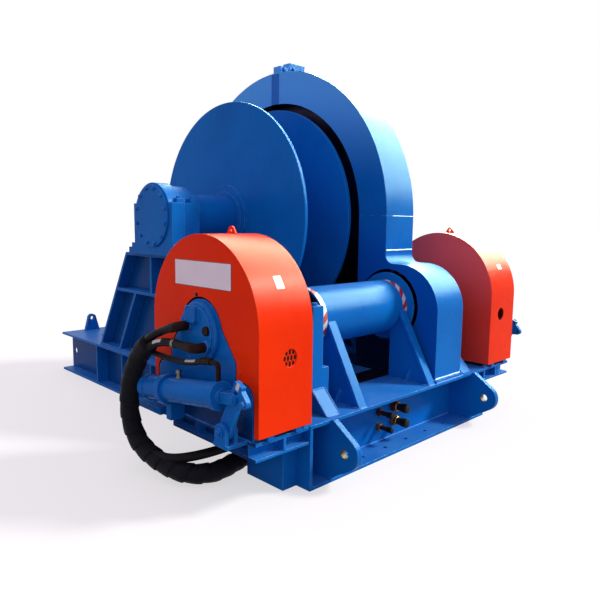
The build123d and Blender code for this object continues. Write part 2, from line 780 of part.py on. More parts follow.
with BuildPart() as pinion:
    pinion_phase = pinion_drop + math.pi / pinion_teeth
    pinion_points = gear_outline(pinion_axis, pinion_teeth, pinion_phase, pinion_flank_points)
    with BuildSketch(Plane.YZ.offset(gear_start_x - pinion_overhang)):
        with BuildLine():
            Polyline(*pinion_points, close=True)
        make_face()
        with Locations(pinion_axis):
            Circle(pinion_shaft_radius + seat_clearance, mode=Mode.SUBTRACT)
    extrude(amount=gear_face + 2 * pinion_overhang)
pieces["pinion"] = pinion

with BuildPart() as pinion_shaft:
    bar((-pinion_shaft_half, pinion_shaft_half), pinion_axis, pinion_shaft_radius)
    shaft_edges = pinion_shaft.edges().group_by(Axis.X)
    chamfer(shaft_edges[0] + shaft_edges[-1], pinion_shaft_chamfer)
pieces["pinion_shaft"] = pinion_shaft


# Gear casing: a hollow arch over the bull gear with a rounded hump over the pinion
def casing_outline(inset):
    """Side outline of the casing, moved inwards by inset."""
    arch = casing_radius - inset
    hump = hump_radius - inset
    corner = casing_fillet + inset
    front = hump_y - hump
    ledge = hump_z + hump
    floor = base_height + casing_foot_plate + inset
    with BuildSketch() as outline:
        with BuildLine():
            Line((front, floor), (front, hump_z))
            CenterArc((hump_y, hump_z), hump, 180, -90)
            Line((hump_y, ledge), (-arch - corner, ledge))
            CenterArc((-arch - corner, ledge + corner), corner, 270, 90)
            Line((-arch, ledge + corner), (-arch, drum_axis_z))
            CenterArc(drum_axis, arch, 180, -180)
            Line((arch, drum_axis_z), (arch, floor))
            Line((arch, floor), (front, floor))
        make_face()
    return outline.sketch


with BuildPart() as casing:
    with BuildSketch(Plane.YZ.offset(casing_front_x)):
        add(casing_outline(0))
    extrude(amount=casing_rear_x - casing_front_x)
    block((casing_front_x - casing_foot_reach, casing_rear_x),
          (casing_foot_front, casing_radius + casing_foot_reach),
          (base_height, base_height + casing_foot_plate))
    with BuildSketch(Plane.YZ.offset(casing_front_x + casing_sheet)):
        add(casing_outline(casing_sheet))
    extrude(amount=casing_rear_x - casing_front_x - 2 * casing_sheet, mode=Mode.SUBTRACT)
    with BuildSketch(Plane.YZ.offset(casing_front_x - casing_foot_reach)):
        with Locations(drum_axis):
            Circle(casing_opening_radius)
            Rectangle(2 * casing_opening_radius, drum_axis_z, align=(Align.CENTER, Align.MAX))
    extrude(amount=casing_rear_x - casing_front_x + casing_foot_reach, mode=Mode.SUBTRACT)
    bar((casing_front_x, casing_front_x + casing_sheet), pinion_axis, tube_disc_radius + casing_tube_gap,
        mode=Mode.SUBTRACT)
    bar((casing_rear_x - casing_sheet, casing_rear_x), pinion_axis, pinion_shaft_radius + casing_shaft_gap,
        mode=Mode.SUBTRACT)

joint_plane = Plane.XY.offset(casing_joint_z)
casing_top_z = drum_axis_z + casing_radius
for name, level, end in (("casing_front_upper", Keep.TOP, Keep.TOP),
                         ("casing_rear_upper", Keep.TOP, Keep.BOTTOM),
                         ("casing_front_lower", Keep.BOTTOM, Keep.TOP),
                         ("casing_rear_lower", Keep.BOTTOM, Keep.BOTTOM)):
    with BuildPart() as casing_piece:
        add(casing.part)
        split(bisect_by=joint_plane, keep=level)
        split(bisect_by=Plane.XZ, keep=end)
        if level == Keep.TOP:
            lug_y = (-joint_lug_plate, 0) if end == Keep.TOP else (0, joint_lug_plate)
            for start, length, height in joint_lugs:
                block((casing_front_x + start, casing_front_x + start + length), lug_y,
                      (casing_top_z - casing_sheet, casing_top_z + height))
    pieces[name] = casing_piece

with BuildPart() as casing_strap:
    block((casing_front_x - strap_plate, casing_front_x), (-strap_width / 2, strap_width / 2),
          (drum_axis_z + casing_opening_radius, casing_top_z - casing_sheet))
pieces["casing_strap"] = casing_strap

# Tube round the pinion shaft, closed towards the casing by a disc, and the two stands that carry it
disc_start_x = tube_right_x - tube_disc_plate
disc_bore_radius = pinion_shaft_radius + tube_disc_clearance
with BuildPart() as shaft_tube:
    bar((tube_left_x, tube_right_x), pinion_axis, tube_radius)
    bar((disc_start_x, tube_right_x), pinion_axis, tube_disc_radius)
    bar((tube_left_x, disc_start_x), pinion_axis, tube_radius - tube_wall, mode=Mode.SUBTRACT)
    bar((disc_start_x, tube_right_x), pinion_axis, disc_bore_radius, mode=Mode.SUBTRACT)
pieces["shaft_tube"] = shaft_tube

stand_top_y = pinion_y - tube_radius
stand_slope = math.atan2(stand_top_z - base_height, stand_top_y - stand_foot_y)
bar_set_back = stand_bar_plate / math.sin(stand_slope)
with BuildPart() as tube_stands:
    for centre_x in stand_x:
        with BuildSketch(Plane.YZ.offset(centre_x - stand_bar_width / 2)):
            with BuildLine():
                Polyline((stand_foot_y, base_height), (stand_top_y, stand_top_z),
                         (stand_top_y + bar_set_back, stand_top_z),
                         (stand_foot_y + bar_set_back, base_height), close=True)
            make_face()
        extrude(amount=stand_bar_width)
        with BuildSketch(Plane.YZ.offset(centre_x - stand_web / 2)):
            with BuildLine():
                Polyline((stand_foot_y + bar_set_back / 2, base_height),
                         (stand_top_y + bar_set_back / 2, stand_top_z),
                         (stand_rear_y, stand_top_z), (stand_rear_y, base_height), close=True)
            make_face()
        extrude(amount=stand_web)
        with BuildSketch(Plane.XZ.offset(-(stand_foot_y + stand_rear_y) / 2)):
            with BuildLine():
                Polyline((centre_x, base_height), (centre_x, base_height + stand_gusset_height),
                         (centre_x - stand_gusset_length, base_height), close=True)
            make_face()
        extrude(amount=stand_web / 2, both=True)
    bar((tube_left_x, tube_right_x), pinion_axis, tube_radius, mode=Mode.SUBTRACT)
pieces["tube_stands"] = tube_stands

# Pinion shaft pedestals: a thick plate with a bush, a wider foot and a wedge in front
with BuildPart() as left_pinion_pedestal:
    block((-block_outer_x, -block_inner_x), (block_front_y, block_rear_y),
          (base_height, pinion_z + block_top_rise))
    block((-block_outer_x, -block_foot_inner_x), (block_front_y, block_rear_y),
          (base_height, base_height + block_foot_height))
    with BuildSketch(Plane.YZ.offset(-block_outer_x)):
        with BuildLine():
            Polyline((block_front_y, base_height), (block_front_y, base_height + block_wedge_height),
                     (block_front_y - block_wedge_length, base_height), close=True)
        make_face()
    extrude(amount=block_wedge_width)
    bar((-block_outer_x, -block_foot_inner_x), pinion_axis, block_bush_radius, mode=Mode.SUBTRACT)
pieces["left_pinion_pedestal"] = left_pinion_pedestal
pieces["right_pinion_pedestal"] = mirrored(left_pinion_pedestal)

with BuildPart() as pinion_bushes:
    for side in (-1, 1):
        stations = sorted((side * block_inner_x, side * block_outer_x))
        bar(stations, pinion_axis, block_bush_radius - seat_clearance)
        bar(stations, pinion_axis, pinion_shaft_radius + running_clearance, mode=Mode.SUBTRACT)
pieces["pinion_bushes"] = pinion_bushes


# Motor plates: pear-shaped uprights on a broad foot, which the hoods are cut out round
def motor_plate_outline():
    """Front outline of the motor plate in (y, z)."""
    neck_front = pinion_y - motor_plate_neck_half
    neck_rear = pinion_y + motor_plate_neck_half
    neck_z = pinion_z - motor_plate_neck_drop
    chin_z = pinion_z + motor_plate_chin_rise
    with BuildSketch() as outline:
        with Locations((pinion_y, base_height)):
            Rectangle(2 * motor_plate_half, motor_plate_shoulder, align=(Align.CENTER, Align.MIN))
        fillet(outline.vertices().group_by(Axis.Y)[-1], motor_plate_corner)
        with BuildLine():
            Polyline((neck_front, base_height), (neck_front, neck_z), (pinion_y - motor_plate_chin, chin_z),
                     (pinion_y + motor_plate_chin, chin_z), (neck_rear, neck_z), (neck_rear, base_height),
                     close=True)
        make_face()
        with Locations(pinion_axis):
            Circle(motor_plate_top_radius)
    return outline.sketch


with BuildPart() as motor_plates:
    with BuildSketch(Plane.YZ.offset(-guard_outer_x)):
        add(motor_plate_outline())
        with Locations(pinion_axis):
            Circle(pinion_shaft_radius + running_clearance, mode=Mode.SUBTRACT)
    extrude(amount=motor_plate)
    mirror(about=Plane.YZ)
pieces["motor_plates"] = motor_plates


# Hoods over the brakes: bent sheet with an open bottom, a keyhole for the motor plate and a shaft slot
def guard_outline(inset, bottom):
    """D-shaped side outline of a hood."""
    radius = guard_radius - inset
    with BuildSketch() as outline:
        with BuildLine():
            Line((guard_y - radius, bottom), (guard_y - radius, guard_z))
            CenterArc((guard_y, guard_z), radius, 180, -180)
            Line((guard_y + radius, guard_z), (guard_y + radius, bottom))
            Line((guard_y + radius, bottom), (guard_y - radius, bottom))
        make_face()
    return outline.sketch


guard_wall_y = guard_y - guard_radius + guard_sheet
vent_z = base_height + vent_height
with BuildPart() as left_guard:
    with BuildSketch(Plane.YZ.offset(-guard_outer_x)):
        add(guard_outline(0, guard_bottom))
    extrude(amount=guard_width)
    with BuildSketch(Plane.YZ.offset(-guard_outer_x + guard_sheet)):
        add(guard_outline(guard_sheet, base_height))
    extrude(amount=guard_width - 2 * guard_sheet, mode=Mode.SUBTRACT)
    with BuildSketch(Plane.YZ.offset(-guard_outer_x)):
        add(motor_plate_outline())
        offset(amount=guard_key_gap)
    extrude(amount=guard_sheet, mode=Mode.SUBTRACT)
    with BuildSketch(Plane.YZ.offset(-guard_inner_x - guard_sheet)):
        with Locations(pinion_axis):
            Circle(pinion_shaft_radius + guard_shaft_gap)
            Rectangle(2 * (pinion_shaft_radius + guard_shaft_gap), pinion_z, align=(Align.CENTER, Align.MAX))
    extrude(amount=guard_sheet, mode=Mode.SUBTRACT)
    with BuildSketch(Plane.XZ.offset(-guard_wall_y)):
        with Locations((-guard_fitting_x, vent_z)):
            Circle(vent_radius)
    extrude(amount=guard_sheet, mode=Mode.SUBTRACT)
    for foot_x in (-guard_outer_x + 2 * guard_foot_size, -guard_inner_x - 2 * guard_foot_size):
        block((foot_x - guard_foot_size / 2, foot_x + guard_foot_size / 2),
              (guard_wall_y, guard_wall_y + guard_foot_size), (base_height, guard_bottom + guard_foot_lap))
    foot_rear = wing_top_rear - guard_foot_size / 2
    block((-guard_inner_x - guard_sheet - guard_foot_size, -guard_inner_x - guard_sheet),
          (foot_rear - guard_foot_size, foot_rear), (base_height, guard_bottom + guard_foot_lap))
pieces["left_guard"] = left_guard
pieces["right_guard"] = mirrored(left_guard)

with BuildPart() as guard_vent:
    with BuildSketch(Plane.XZ.offset(-guard_wall_y)):
        with Locations((-guard_fitting_x, vent_z)):
            Circle(vent_radius + vent_lap)
            with HexLocations(vent_hole_pitch / 2, vent_hole_rows, vent_hole_rows):
                Circle(vent_hole_radius, mode=Mode.SUBTRACT)
    extrude(amount=-vent_disc_plate)
pieces["guard_vent"] = guard_vent

with BuildPart() as guard_eyes:
    guard_top = guard_z + guard_radius
    eye_stations = (-guard_fitting_x - eye_plate / 2, -guard_fitting_x + eye_plate / 2)
    with BuildSketch(Plane.YZ.offset(eye_stations[0])):
        with Locations((guard_y, guard_top + eye_height)):
            Circle(eye_outer_radius)
        with Locations((guard_y, guard_top)):
            Rectangle(2 * eye_foot_half, 2 * eye_foot_height)
        make_hull()
        with Locations((guard_y, guard_top + eye_height)):
            Circle(eye_inner_radius, mode=Mode.SUBTRACT)
    extrude(amount=eye_plate)
    bar(eye_stations, (guard_y, guard_z), guard_radius, mode=Mode.SUBTRACT)
    mirror(about=Plane.YZ)
pieces["guard_eyes"] = guard_eyes

# Brake drums on the pinion shaft, with a steel band round each and its anchor on the wing
with BuildPart() as brake_drums:
    half = brake_drum_width / 2
    hub_stations = (-brake_drum_x - brake_hub_length / 2, -brake_drum_x + brake_hub_length / 2)
    bar((-brake_drum_x - half, -brake_drum_x + half), pinion_axis, brake_drum_radius)
    for start, end in ((-half, -brake_web / 2), (brake_web / 2, half)):
        bar((-brake_drum_x + start, -brake_drum_x + end), pinion_axis, brake_drum_radius - brake_rim,
            mode=Mode.SUBTRACT)
    bar(hub_stations, pinion_axis, brake_hub_radius)
    bar(hub_stations, pinion_axis, pinion_shaft_radius + seat_clearance, mode=Mode.SUBTRACT)
    mirror(about=Plane.YZ)
pieces["brake_drums"] = brake_drums

with BuildPart() as brake_bands:
    with BuildSketch(Plane.YZ.offset(-brake_drum_x - brake_band_width / 2)):
        with Locations(pinion_axis):
            Circle(band_outer)
            Circle(band_inner, mode=Mode.SUBTRACT)
        with BuildLine():
            opening = math.radians(brake_band_open_angle / 2)
            far = 2 * band_outer
            Polyline(pinion_axis, (pinion_y - far * math.cos(opening), pinion_z - far * math.sin(opening)),
                     (pinion_y - far * math.cos(opening), pinion_z + far * math.sin(opening)), close=True)
        make_face(mode=Mode.SUBTRACT)
    extrude(amount=brake_band_width)
    block((-brake_drum_x - brake_anchor_width / 2, -brake_drum_x + brake_anchor_width / 2),
          (pinion_y - brake_anchor_plate / 2, pinion_y + brake_anchor_plate / 2),
          (base_height, pinion_z - band_inner))
    bar((-brake_drum_x - brake_band_width / 2, -brake_drum_x + brake_band_width / 2), pinion_axis, band_inner,
        mode=Mode.SUBTRACT)
    mirror(about=Plane.YZ)
pieces["brake_bands"] = brake_bands

# Hydraulic motors: a round body on the plate, a stepped cover, a raised cap and two ports
with BuildPart() as left_motor:
    bar((-guard_outer_x - motor_body, -guard_outer_x), pinion_axis, motor_radius)
    chamfer(left_motor.edges().group_by(Axis.X)[0], motor_chamfer)
    bar((-motor_face_x, -guard_outer_x), pinion_axis, motor_cover_radius)
    with BuildSketch(Plane.YZ.offset(-motor_face_x - motor_cap)):
        with Locations((pinion_y + motor_cap_offset[0], pinion_z + motor_cap_offset[1])):
            RectangleRounded(motor_cap_size, motor_cap_size, motor_cap_round)
    extrude(amount=motor_cap + motor_cover)
    for port_y, port_z, dip in motor_ports:
        bar((-motor_face_x - motor_cover, -motor_face_x), (pinion_y + port_y, pinion_z + port_z),
            port_radius + port_boss_wall)
    bar((-pinion_shaft_half - running_clearance, -guard_outer_x), pinion_axis,
        pinion_shaft_radius + running_clearance, mode=Mode.SUBTRACT)
pieces["left_motor"] = left_motor
pieces["right_motor"] = mirrored(left_motor)

# Hose elbows on the motor ports: out of the face, then round to the rear; and a plug in the third port
elbow_start_x = motor_face_x + motor_cover
elbow_ends = []
with BuildPart() as motor_elbows:
    for port_y, port_z, dip in motor_ports:
        elbow_root = Vector(-elbow_start_x, pinion_y + port_y, pinion_z + port_z)
        elbow_corner = elbow_root - Vector(elbow_length, 0, 0)
        elbow_way = Vector(0, math.cos(math.radians(dip)), -math.sin(math.radians(dip)))
        elbow_mouth = elbow_corner + elbow_way * (elbow_sleeve + port_radius)
        elbow_ends.append((elbow_mouth, elbow_way))
        with BuildLine():
            elbow_line = FilletPolyline(elbow_root, elbow_corner, elbow_mouth, radius=elbow_bend_radius)
        with BuildSketch(Plane(origin=elbow_line @ 0, z_dir=elbow_line % 0)):
            Circle(port_radius)
        sweep(path=elbow_line)
    bar((-motor_face_x - motor_plug_length, -motor_face_x),
        (pinion_y + motor_plug[0], pinion_z + motor_plug[1]), motor_plug_radius)
    mirror(about=Plane.YZ)
pieces["motor_elbows"] = motor_elbows

# Brake levers: a tapered plate on a pivot pin, slotted for the cylinder's fork pin
lean = math.radians(lever_lean)
tilt = math.radians(cylinder_tilt)
lever_up = Vector(0, -math.sin(lean), math.cos(lean))
lever_across = Vector(0, math.cos(lean), math.sin(lean))
rod_way = Vector(0, -math.cos(tilt), math.sin(tilt))
lever_pivot = Vector(-lever_x, lever_pivot_y, lever_pivot_z)
fork_pin = lever_pivot + lever_up * fork_arm
gland_face = fork_pin - rod_way * rod_reach
lever_plane = Plane(origin=lever_pivot - Vector(lever_plate / 2, 0, 0), x_dir=lever_across, z_dir=(1, 0, 0))
with BuildPart() as left_brake_lever:
    with BuildSketch(lever_plane):
        with BuildSketch(mode=Mode.PRIVATE) as blade:
            Circle(lever_foot_radius)
            with Locations((0, lever_length)):
                Rectangle(2 * lever_head_radius, lever_head_radius, align=(Align.CENTER, Align.MAX))
            make_hull()
        with BuildSketch(mode=Mode.PRIVATE) as ear:
            ear_root = (0, lever_ear[1])
            with Locations(lever_ear):
                Circle(lever_ear_radius)
            with Locations(ear_root):
                Rectangle(2 * lever_ear_radius, 4 * lever_ear_radius)
            make_hull()
        add(blade.sketch)
        add(ear.sketch)
        Circle(lever_pin_radius + running_clearance, mode=Mode.SUBTRACT)
        with Locations(lever_ear):
            Circle(lever_ear_hole_radius, mode=Mode.SUBTRACT)
        with Locations((0, fork_arm + lever_slot_lead)):
            SlotCenterToCenter(lever_slot_travel, 2 * (lever_pin_radius + lever_slot_clearance), rotation=90,
                               mode=Mode.SUBTRACT)
    extrude(amount=lever_plate)
pieces["left_brake_lever"] = left_brake_lever
pieces["right_brake_lever"] = mirrored(left_brake_lever)

# Lever brackets: a shelf on the wing's edge with two cheeks and the pivot pin
cheek_inner = lever_plate / 2 + bracket_gap
cheek_outer = cheek_inner + bracket_plate
pivot_axis = (lever_pivot_y, lever_pivot_z)
with BuildPart() as lever_brackets:
    block((-lever_x - cheek_outer, -wing_outer_x),
          (lever_pivot_y - bracket_length / 2, lever_pivot_y + bracket_length / 2),
          (base_height - wing_top_plate, base_height))
    for start, end in ((-cheek_outer, -cheek_inner), (cheek_inner, cheek_outer)):
        with BuildSketch(Plane.YZ.offset(-lever_x + start)):
            with Locations((lever_pivot_y, base_height)):
                Rectangle(2 * lever_foot_radius, lever_pivot_z - base_height, align=(Align.CENTER, Align.MIN))
            with Locations(pivot_axis):
                Circle(lever_foot_radius)
        extrude(amount=end - start)
    bar((-lever_x - cheek_outer, -lever_x + cheek_outer), pivot_axis, lever_pin_radius)
    mirror(about=Plane.YZ)
pieces["lever_brackets"] = lever_brackets

# Brake cylinders: a tube with heavier heads, a gland and a bored rod seat
gland_plane = Plane(origin=gland_face, x_dir=(1, 0, 0), z_dir=rod_way)
with BuildPart() as left_brake_cylinder:
    with BuildSketch(gland_plane):
        Circle(cylinder_radius)
    extrude(amount=-cylinder_length)
    for station in (0, cylinder_head - cylinder_length):
        with BuildSketch(gland_plane.offset(station)):
            Circle(cylinder_head_radius)
        extrude(amount=-cylinder_head)
    with BuildSketch(gland_plane):
        Circle(gland_radius)
    extrude(amount=gland_length)
    with BuildSketch(gland_plane.offset(gland_length)):
        Circle(rod_radius + running_clearance)
    extrude(amount=-rod_bore_depth, mode=Mode.SUBTRACT)
pieces["left_brake_cylinder"] = left_brake_cylinder
pieces["right_brake_cylinder"] = mirrored(left_brake_cylinder)

with BuildPart() as left_brake_rod:
    fork_inner = lever_plate / 2 + fork_gap
    fork_outer = fork_inner + fork_cheek
    with BuildSketch(gland_plane.offset(-rod_inside)):
        Circle(rod_radius)
    root_station = rod_reach - fork_length
    extrude(amount=rod_inside + root_station)
    with BuildSketch(gland_plane.offset(root_station - fork_root)):
        Rectangle(2 * fork_outer, 2 * fork_radius)
    extrude(amount=fork_root)
    for start in (-fork_outer, fork_inner):
        with BuildSketch(Plane(origin=fork_pin + Vector(start, 0, 0), x_dir=rod_way, z_dir=(1, 0, 0))):
            Circle(fork_radius)
            Rectangle(fork_length, 2 * fork_radius, align=(Align.MAX, Align.CENTER))
        extrude(amount=fork_cheek)
    bar((-lever_x - fork_outer, -lever_x + fork_outer), (fork_pin.Y, fork_pin.Z), lever_pin_radius)
pieces["left_brake_rod"] = left_brake_rod
pieces["right_brake_rod"] = mirrored(left_brake_rod)

# Cylinder saddles: a ring that clamps the cylinder and an upright to the wing's edge
saddle_centre = gland_face - rod_way * saddle_station
saddle_radius = cylinder_radius + saddle_wall
with BuildPart() as cylinder_saddles:
    with BuildSketch(Plane(origin=saddle_centre, x_dir=(1, 0, 0), z_dir=rod_way)):
        Circle(saddle_radius)
    extrude(amount=saddle_plate / 2, both=True)
    block((-lever_x, -wing_outer_x),
          (saddle_centre.Y - saddle_plate / 2, saddle_centre.Y + saddle_plate / 2),
          (base_height - wing_top_plate, saddle_centre.Z))
    with BuildSketch(gland_plane):
        Circle(cylinder_radius)
    extrude(amount=-cylinder_length, mode=Mode.SUBTRACT)
    mirror(about=Plane.YZ)
pieces["cylinder_saddles"] = cylinder_saddles

# Brake pressure port: a stub on the cylinder's front head, turned to the rear
port_root = gland_face - rod_way * brake_port_station
port_top_z = port_root.Z + cylinder_head_radius + brake_port_height
port_foot = Vector(-lever_x, port_root.Y, port_root.Z + cylinder_radius)
port_corner = Vector(-lever_x, port_root.Y, port_top_z)
port_mouth = port_corner + Vector(0, brake_port_reach, 0)
with BuildPart() as brake_ports:
    with BuildLine():
        port_line = FilletPolyline(port_foot, port_corner, port_mouth, radius=brake_port_bend_radius)
    with BuildSketch(Plane(origin=port_line @ 0, z_dir=port_line % 0)):
        Circle(brake_port_radius)
    sweep(path=port_line)
    with BuildSketch(gland_plane):
        Circle(cylinder_head_radius)
    extrude(amount=-cylinder_head, mode=Mode.SUBTRACT)
    mirror(about=Plane.YZ)
pieces["brake_ports"] = brake_ports

# Bulkhead couplings: a hexagon nut against the front web and a round body in the web hole
web_front_y = front_web_y - web_plate / 2
coupling_sizes = ((coupling_large_places, coupling_large_radius, coupling_large_nut),
                  (coupling_small_places, coupling_small_radius, coupling_small_nut))
with BuildPart() as bulkhead_couplings:
    for places, radius, nut in coupling_sizes:
        with BuildSketch(Plane.XZ.offset(-web_front_y)):
            with Locations(*places):
                RegularPolygon(nut, 6)
        extrude(amount=coupling_nut_length)
        with BuildSketch(Plane.XZ.offset(-web_front_y + coupling_nut_length)):
            with Locations(*places):
                Circle(radius)
        extrude(amount=coupling_length - coupling_nut_length)
        with BuildSketch(Plane.XZ.offset(-web_front_y)):
            with Locations(*places):
                Circle(radius - seat_clearance)
        extrude(amount=-web_plate)
pieces["bulkhead_couplings"] = bulkhead_couplings


# Hoses: a wrapped bundle that hangs in a loop beside the left platform, and what runs into it
def hose_radii(route):
    """Largest arc that the two runs at each corner of a route leave room for."""
    radii = []
    for before, corner, after in zip(route, route[1:], route[2:]):
        arriving = Vector(corner) - Vector(before)
        leaving = Vector(after) - Vector(corner)
        half_turn = math.radians(arriving.get_angle(leaving)) / 2
        radii.append(hose_arc_share * min(arriving.length, leaving.length) / math.tan(half_turn))
    return radii


(upper_port, upper_port_way), (lower_port, lower_port_way) = elbow_ends
web_outer_x = -side_beam_x - web_plate / 2
bundle_start = Vector(-1555, -1000, 822)
bundle_way = Vector(0, math.cos(math.radians(bundle_dip)), -math.sin(math.radians(bundle_dip)))
bundle_up = Vector(0, -bundle_way.Z, bundle_way.Y)
pair_middle = bundle_start - Vector(hose_pair_shift, 0, 0)
upper_end = pair_middle + bundle_up * hose_pair_spread + bundle_way * upper_hose_lap
lower_end = pair_middle - bundle_up * hose_pair_spread + bundle_way * lower_hose_lap
hose_routes = {
    "hose_bundle": (bundle_diameter, [
        bundle_start, bundle_start + bundle_way * bundle_lead, (-1560, -856, 682), (-1566, -808, 588),
        (-1571, -779, 484), (-1573, -776, 381), (-1573, -800, 288), (-1570, -848, 212), (-1563, -915, 162),
        (-1552, -1000, 129), (-1536, -1090, 106), (-1515, -1180, 90), (-1492, -1241, 82), (-1452, -1291, 76),
        (-1397, -1326, 72), (-1335, -1341, 69), (-1270, -1336, 68), (-1190, -1316, 68), (-1100, -1297, 73),
        (-995, -1291, 85), (-894, -1300, 96), (web_outer_x, -1300, 96)]),
    "tail_hose": (tail_hose_diameter, [
        (-1558, -1000, 152), (-1546, -1085, 144), (-1522, -1165, 150), (-1480, -1226, 160),
        (-1422, -1270, 170), (-1350, -1300, 178), (-1262, -1316, 184), (-1168, -1322, 190),
        (-1075, -1314, 194), (-980, -1312, 197), (-887, -1318, 199), (web_outer_x, -1318, 199)]),
    "motor_hose_upper": (motor_hose_diameter, [
        upper_port, upper_port + upper_port_way * upper_hose_lead, (-1527, -1086, 898),
        (-1549, -1035, 872), upper_end]),
    "motor_hose_lower": (motor_hose_diameter, [
        lower_port, lower_port + lower_port_way * lower_hose_lead, (-1523, -1205, 851), (-1537, -1125, 846),
        (-1556, -1058, 826), lower_end]),
    "brake_hose": (brake_hose_diameter, [
        port_mouth, port_mouth + Vector(0, brake_hose_lead, 0), (-1502, -1400, 768), (-1507, -1290, 752),
        (-1514, -1180, 750), (-1522, -1075, 756), (-1531, -970, 762), (-1547, -890, 735)]),
}
for name, (diameter, route) in hose_routes.items():
    with BuildPart() as hose:
        with BuildLine():
            path = FilletPolyline(*route, radius=hose_radii(route))
        with BuildSketch(Plane(origin=path @ 0, z_dir=path % 0)):
            Circle(diameter / 2)
        sweep(path=path)
    pieces[name] = hose
    volume_share = hose.part.volume / (math.pi * diameter ** 2 / 4 * path.length)
    print(name, "length", round(path.length), "volume share", round(volume_share, 4),
          "radii", [round(radius) for radius in hose_radii(route)])

# The written pieces stand with the skid's middle over the origin
for name, builder in pieces.items():
    placed = builder.part.moved(Location((0, -middle_y, 0)))
    placed.label = name
    export_step(placed, f"parts/{name}.step")
print(len(pieces), "pieces, drum shaft at y", -middle_y)
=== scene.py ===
"""Looks of a skid-mounted hydraulic drum winch, in metres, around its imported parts."""
import bmesh
import bpy
import numpy as np
from mathutils import Matrix


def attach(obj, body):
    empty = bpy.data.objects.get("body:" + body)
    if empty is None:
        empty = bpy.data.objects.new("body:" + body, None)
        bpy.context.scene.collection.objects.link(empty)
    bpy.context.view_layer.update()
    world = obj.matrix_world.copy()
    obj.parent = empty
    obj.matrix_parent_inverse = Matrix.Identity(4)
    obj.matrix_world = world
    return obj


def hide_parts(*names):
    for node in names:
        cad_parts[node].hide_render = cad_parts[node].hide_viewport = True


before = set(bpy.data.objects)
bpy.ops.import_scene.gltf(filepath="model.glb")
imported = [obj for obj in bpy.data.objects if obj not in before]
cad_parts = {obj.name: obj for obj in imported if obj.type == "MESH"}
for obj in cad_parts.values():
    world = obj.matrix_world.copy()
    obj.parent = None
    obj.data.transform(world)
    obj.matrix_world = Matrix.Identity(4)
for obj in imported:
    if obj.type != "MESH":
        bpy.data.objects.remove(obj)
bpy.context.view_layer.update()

# Point of view: a camera at eye height off the skid's front left corner, given by its place and
# by the directions of the picture's right and up. The lens and shift are those of the photograph.
camera_place = (-3.268, -3.9646, 1.533)
picture_right = (0.7118, -0.7023, 0.0130)
picture_up = (0.0810, 0.1004, 0.9916)


def aimed(place, right, up):
    """A place with its x along right, its y along up squared to that, and its z towards the viewer."""
    right = np.array(right) / np.linalg.norm(right)
    up = np.array(up) - right * (right @ np.array(up))
    up = up / np.linalg.norm(up)
    matrix = np.eye(4)
    matrix[:3, :3] = np.stack([right, up, np.cross(right, up)], axis=1)
    matrix[:3, 3] = place
    return Matrix(matrix.tolist())


def shown(name, data):
    """A new object of the scene, at the origin."""
    item = bpy.data.objects.new(name, data)
    scene.collection.objects.link(item)
    return item


scene = bpy.context.scene
scene.view_settings.view_transform = "Standard"
camera = shown("eye_height_camera", bpy.data.cameras.new("eye_height_camera"))
camera.data.sensor_width = 36.0
camera.data.lens = 34.73
camera.data.shift_x = -0.0056
camera.data.shift_y = -0.0027
camera.matrix_world = aimed(camera_place, picture_right, picture_up)
scene.camera = camera

# Light: a broad sun from the right and above, as on a works yard, and a wide panel of pale green on
# the right, which only shows as the sheen of the bright side of the sky on curved glossy faces.
winch_middle = np.array((0.0, 0.0, 1.2))


def lamp_from(name, kind, direction, reach):
    """A lamp that shines onto the winch's middle from a direction, at a reach from it."""
    axis = np.array(direction) / np.linalg.norm(direction)
    side = np.cross((0.0, 0.0, 1.0), axis)
    lamp = shown(name, bpy.data.lights.new(name, kind))
    lamp.matrix_world = aimed(winch_middle + axis * reach, side, np.cross(axis, side))
    return lamp


sun = lamp_from("yard_sun", "SUN", (0.62, -0.48, 0.62), 10.0)
sun.data.energy = 2.9
sun.data.color = (1.0, 1.0, 0.95)
sun.data.angle = 0.20
panel = lamp_from("pale_panel", "AREA", (0.777, -0.068, 0.625), 8.0)
panel.data.shape = "RECTANGLE"
panel.data.size = 16.5
panel.data.size_y = 6.25
panel.data.energy = 12300.0
panel.data.color = (0.64, 1.0, 0.72)
panel.visible_camera = False
panel.visible_diffuse = False

# Sky: even and pale, as under thin cloud. It is white to the camera and in reflections, and dimmer
# and a little pink as a lamp.


def fill(node, inputs):
    """Gives each named input of a node a value, or links a socket to it. A colour is red, green and blue."""
    for name, value in inputs.items():
        socket = node.inputs[name]
        if isinstance(value, bpy.types.NodeSocket):
            node.id_data.links.new(value, socket)
        else:
            socket.default_value = (*value, 1.0) if socket.type == "RGBA" else value


def put(tree, kind, inputs=None, **options):
    """Adds a node to a tree, sets its options and fills its inputs."""
    node = tree.nodes.new(kind)
    for name, value in options.items():
        setattr(node, name, value)
    fill(node, inputs or {})
    return node


def reckoned(tree, operation, *values):
    """What a Math node's operation makes of values or sockets."""
    return put(tree, "ShaderNodeMath", dict(enumerate(values)), operation=operation).outputs[0]


def seen_ray(tree):
    """1 for rays from the camera, off a shiny surface or through a clear one, and 0 for others."""
    path = put(tree, "ShaderNodeLightPath").outputs
    direct = reckoned(tree, "MAXIMUM", path["Is Camera Ray"], path["Is Glossy Ray"])
    return reckoned(tree, "MAXIMUM", direct, path["Is Transmission Ray"])


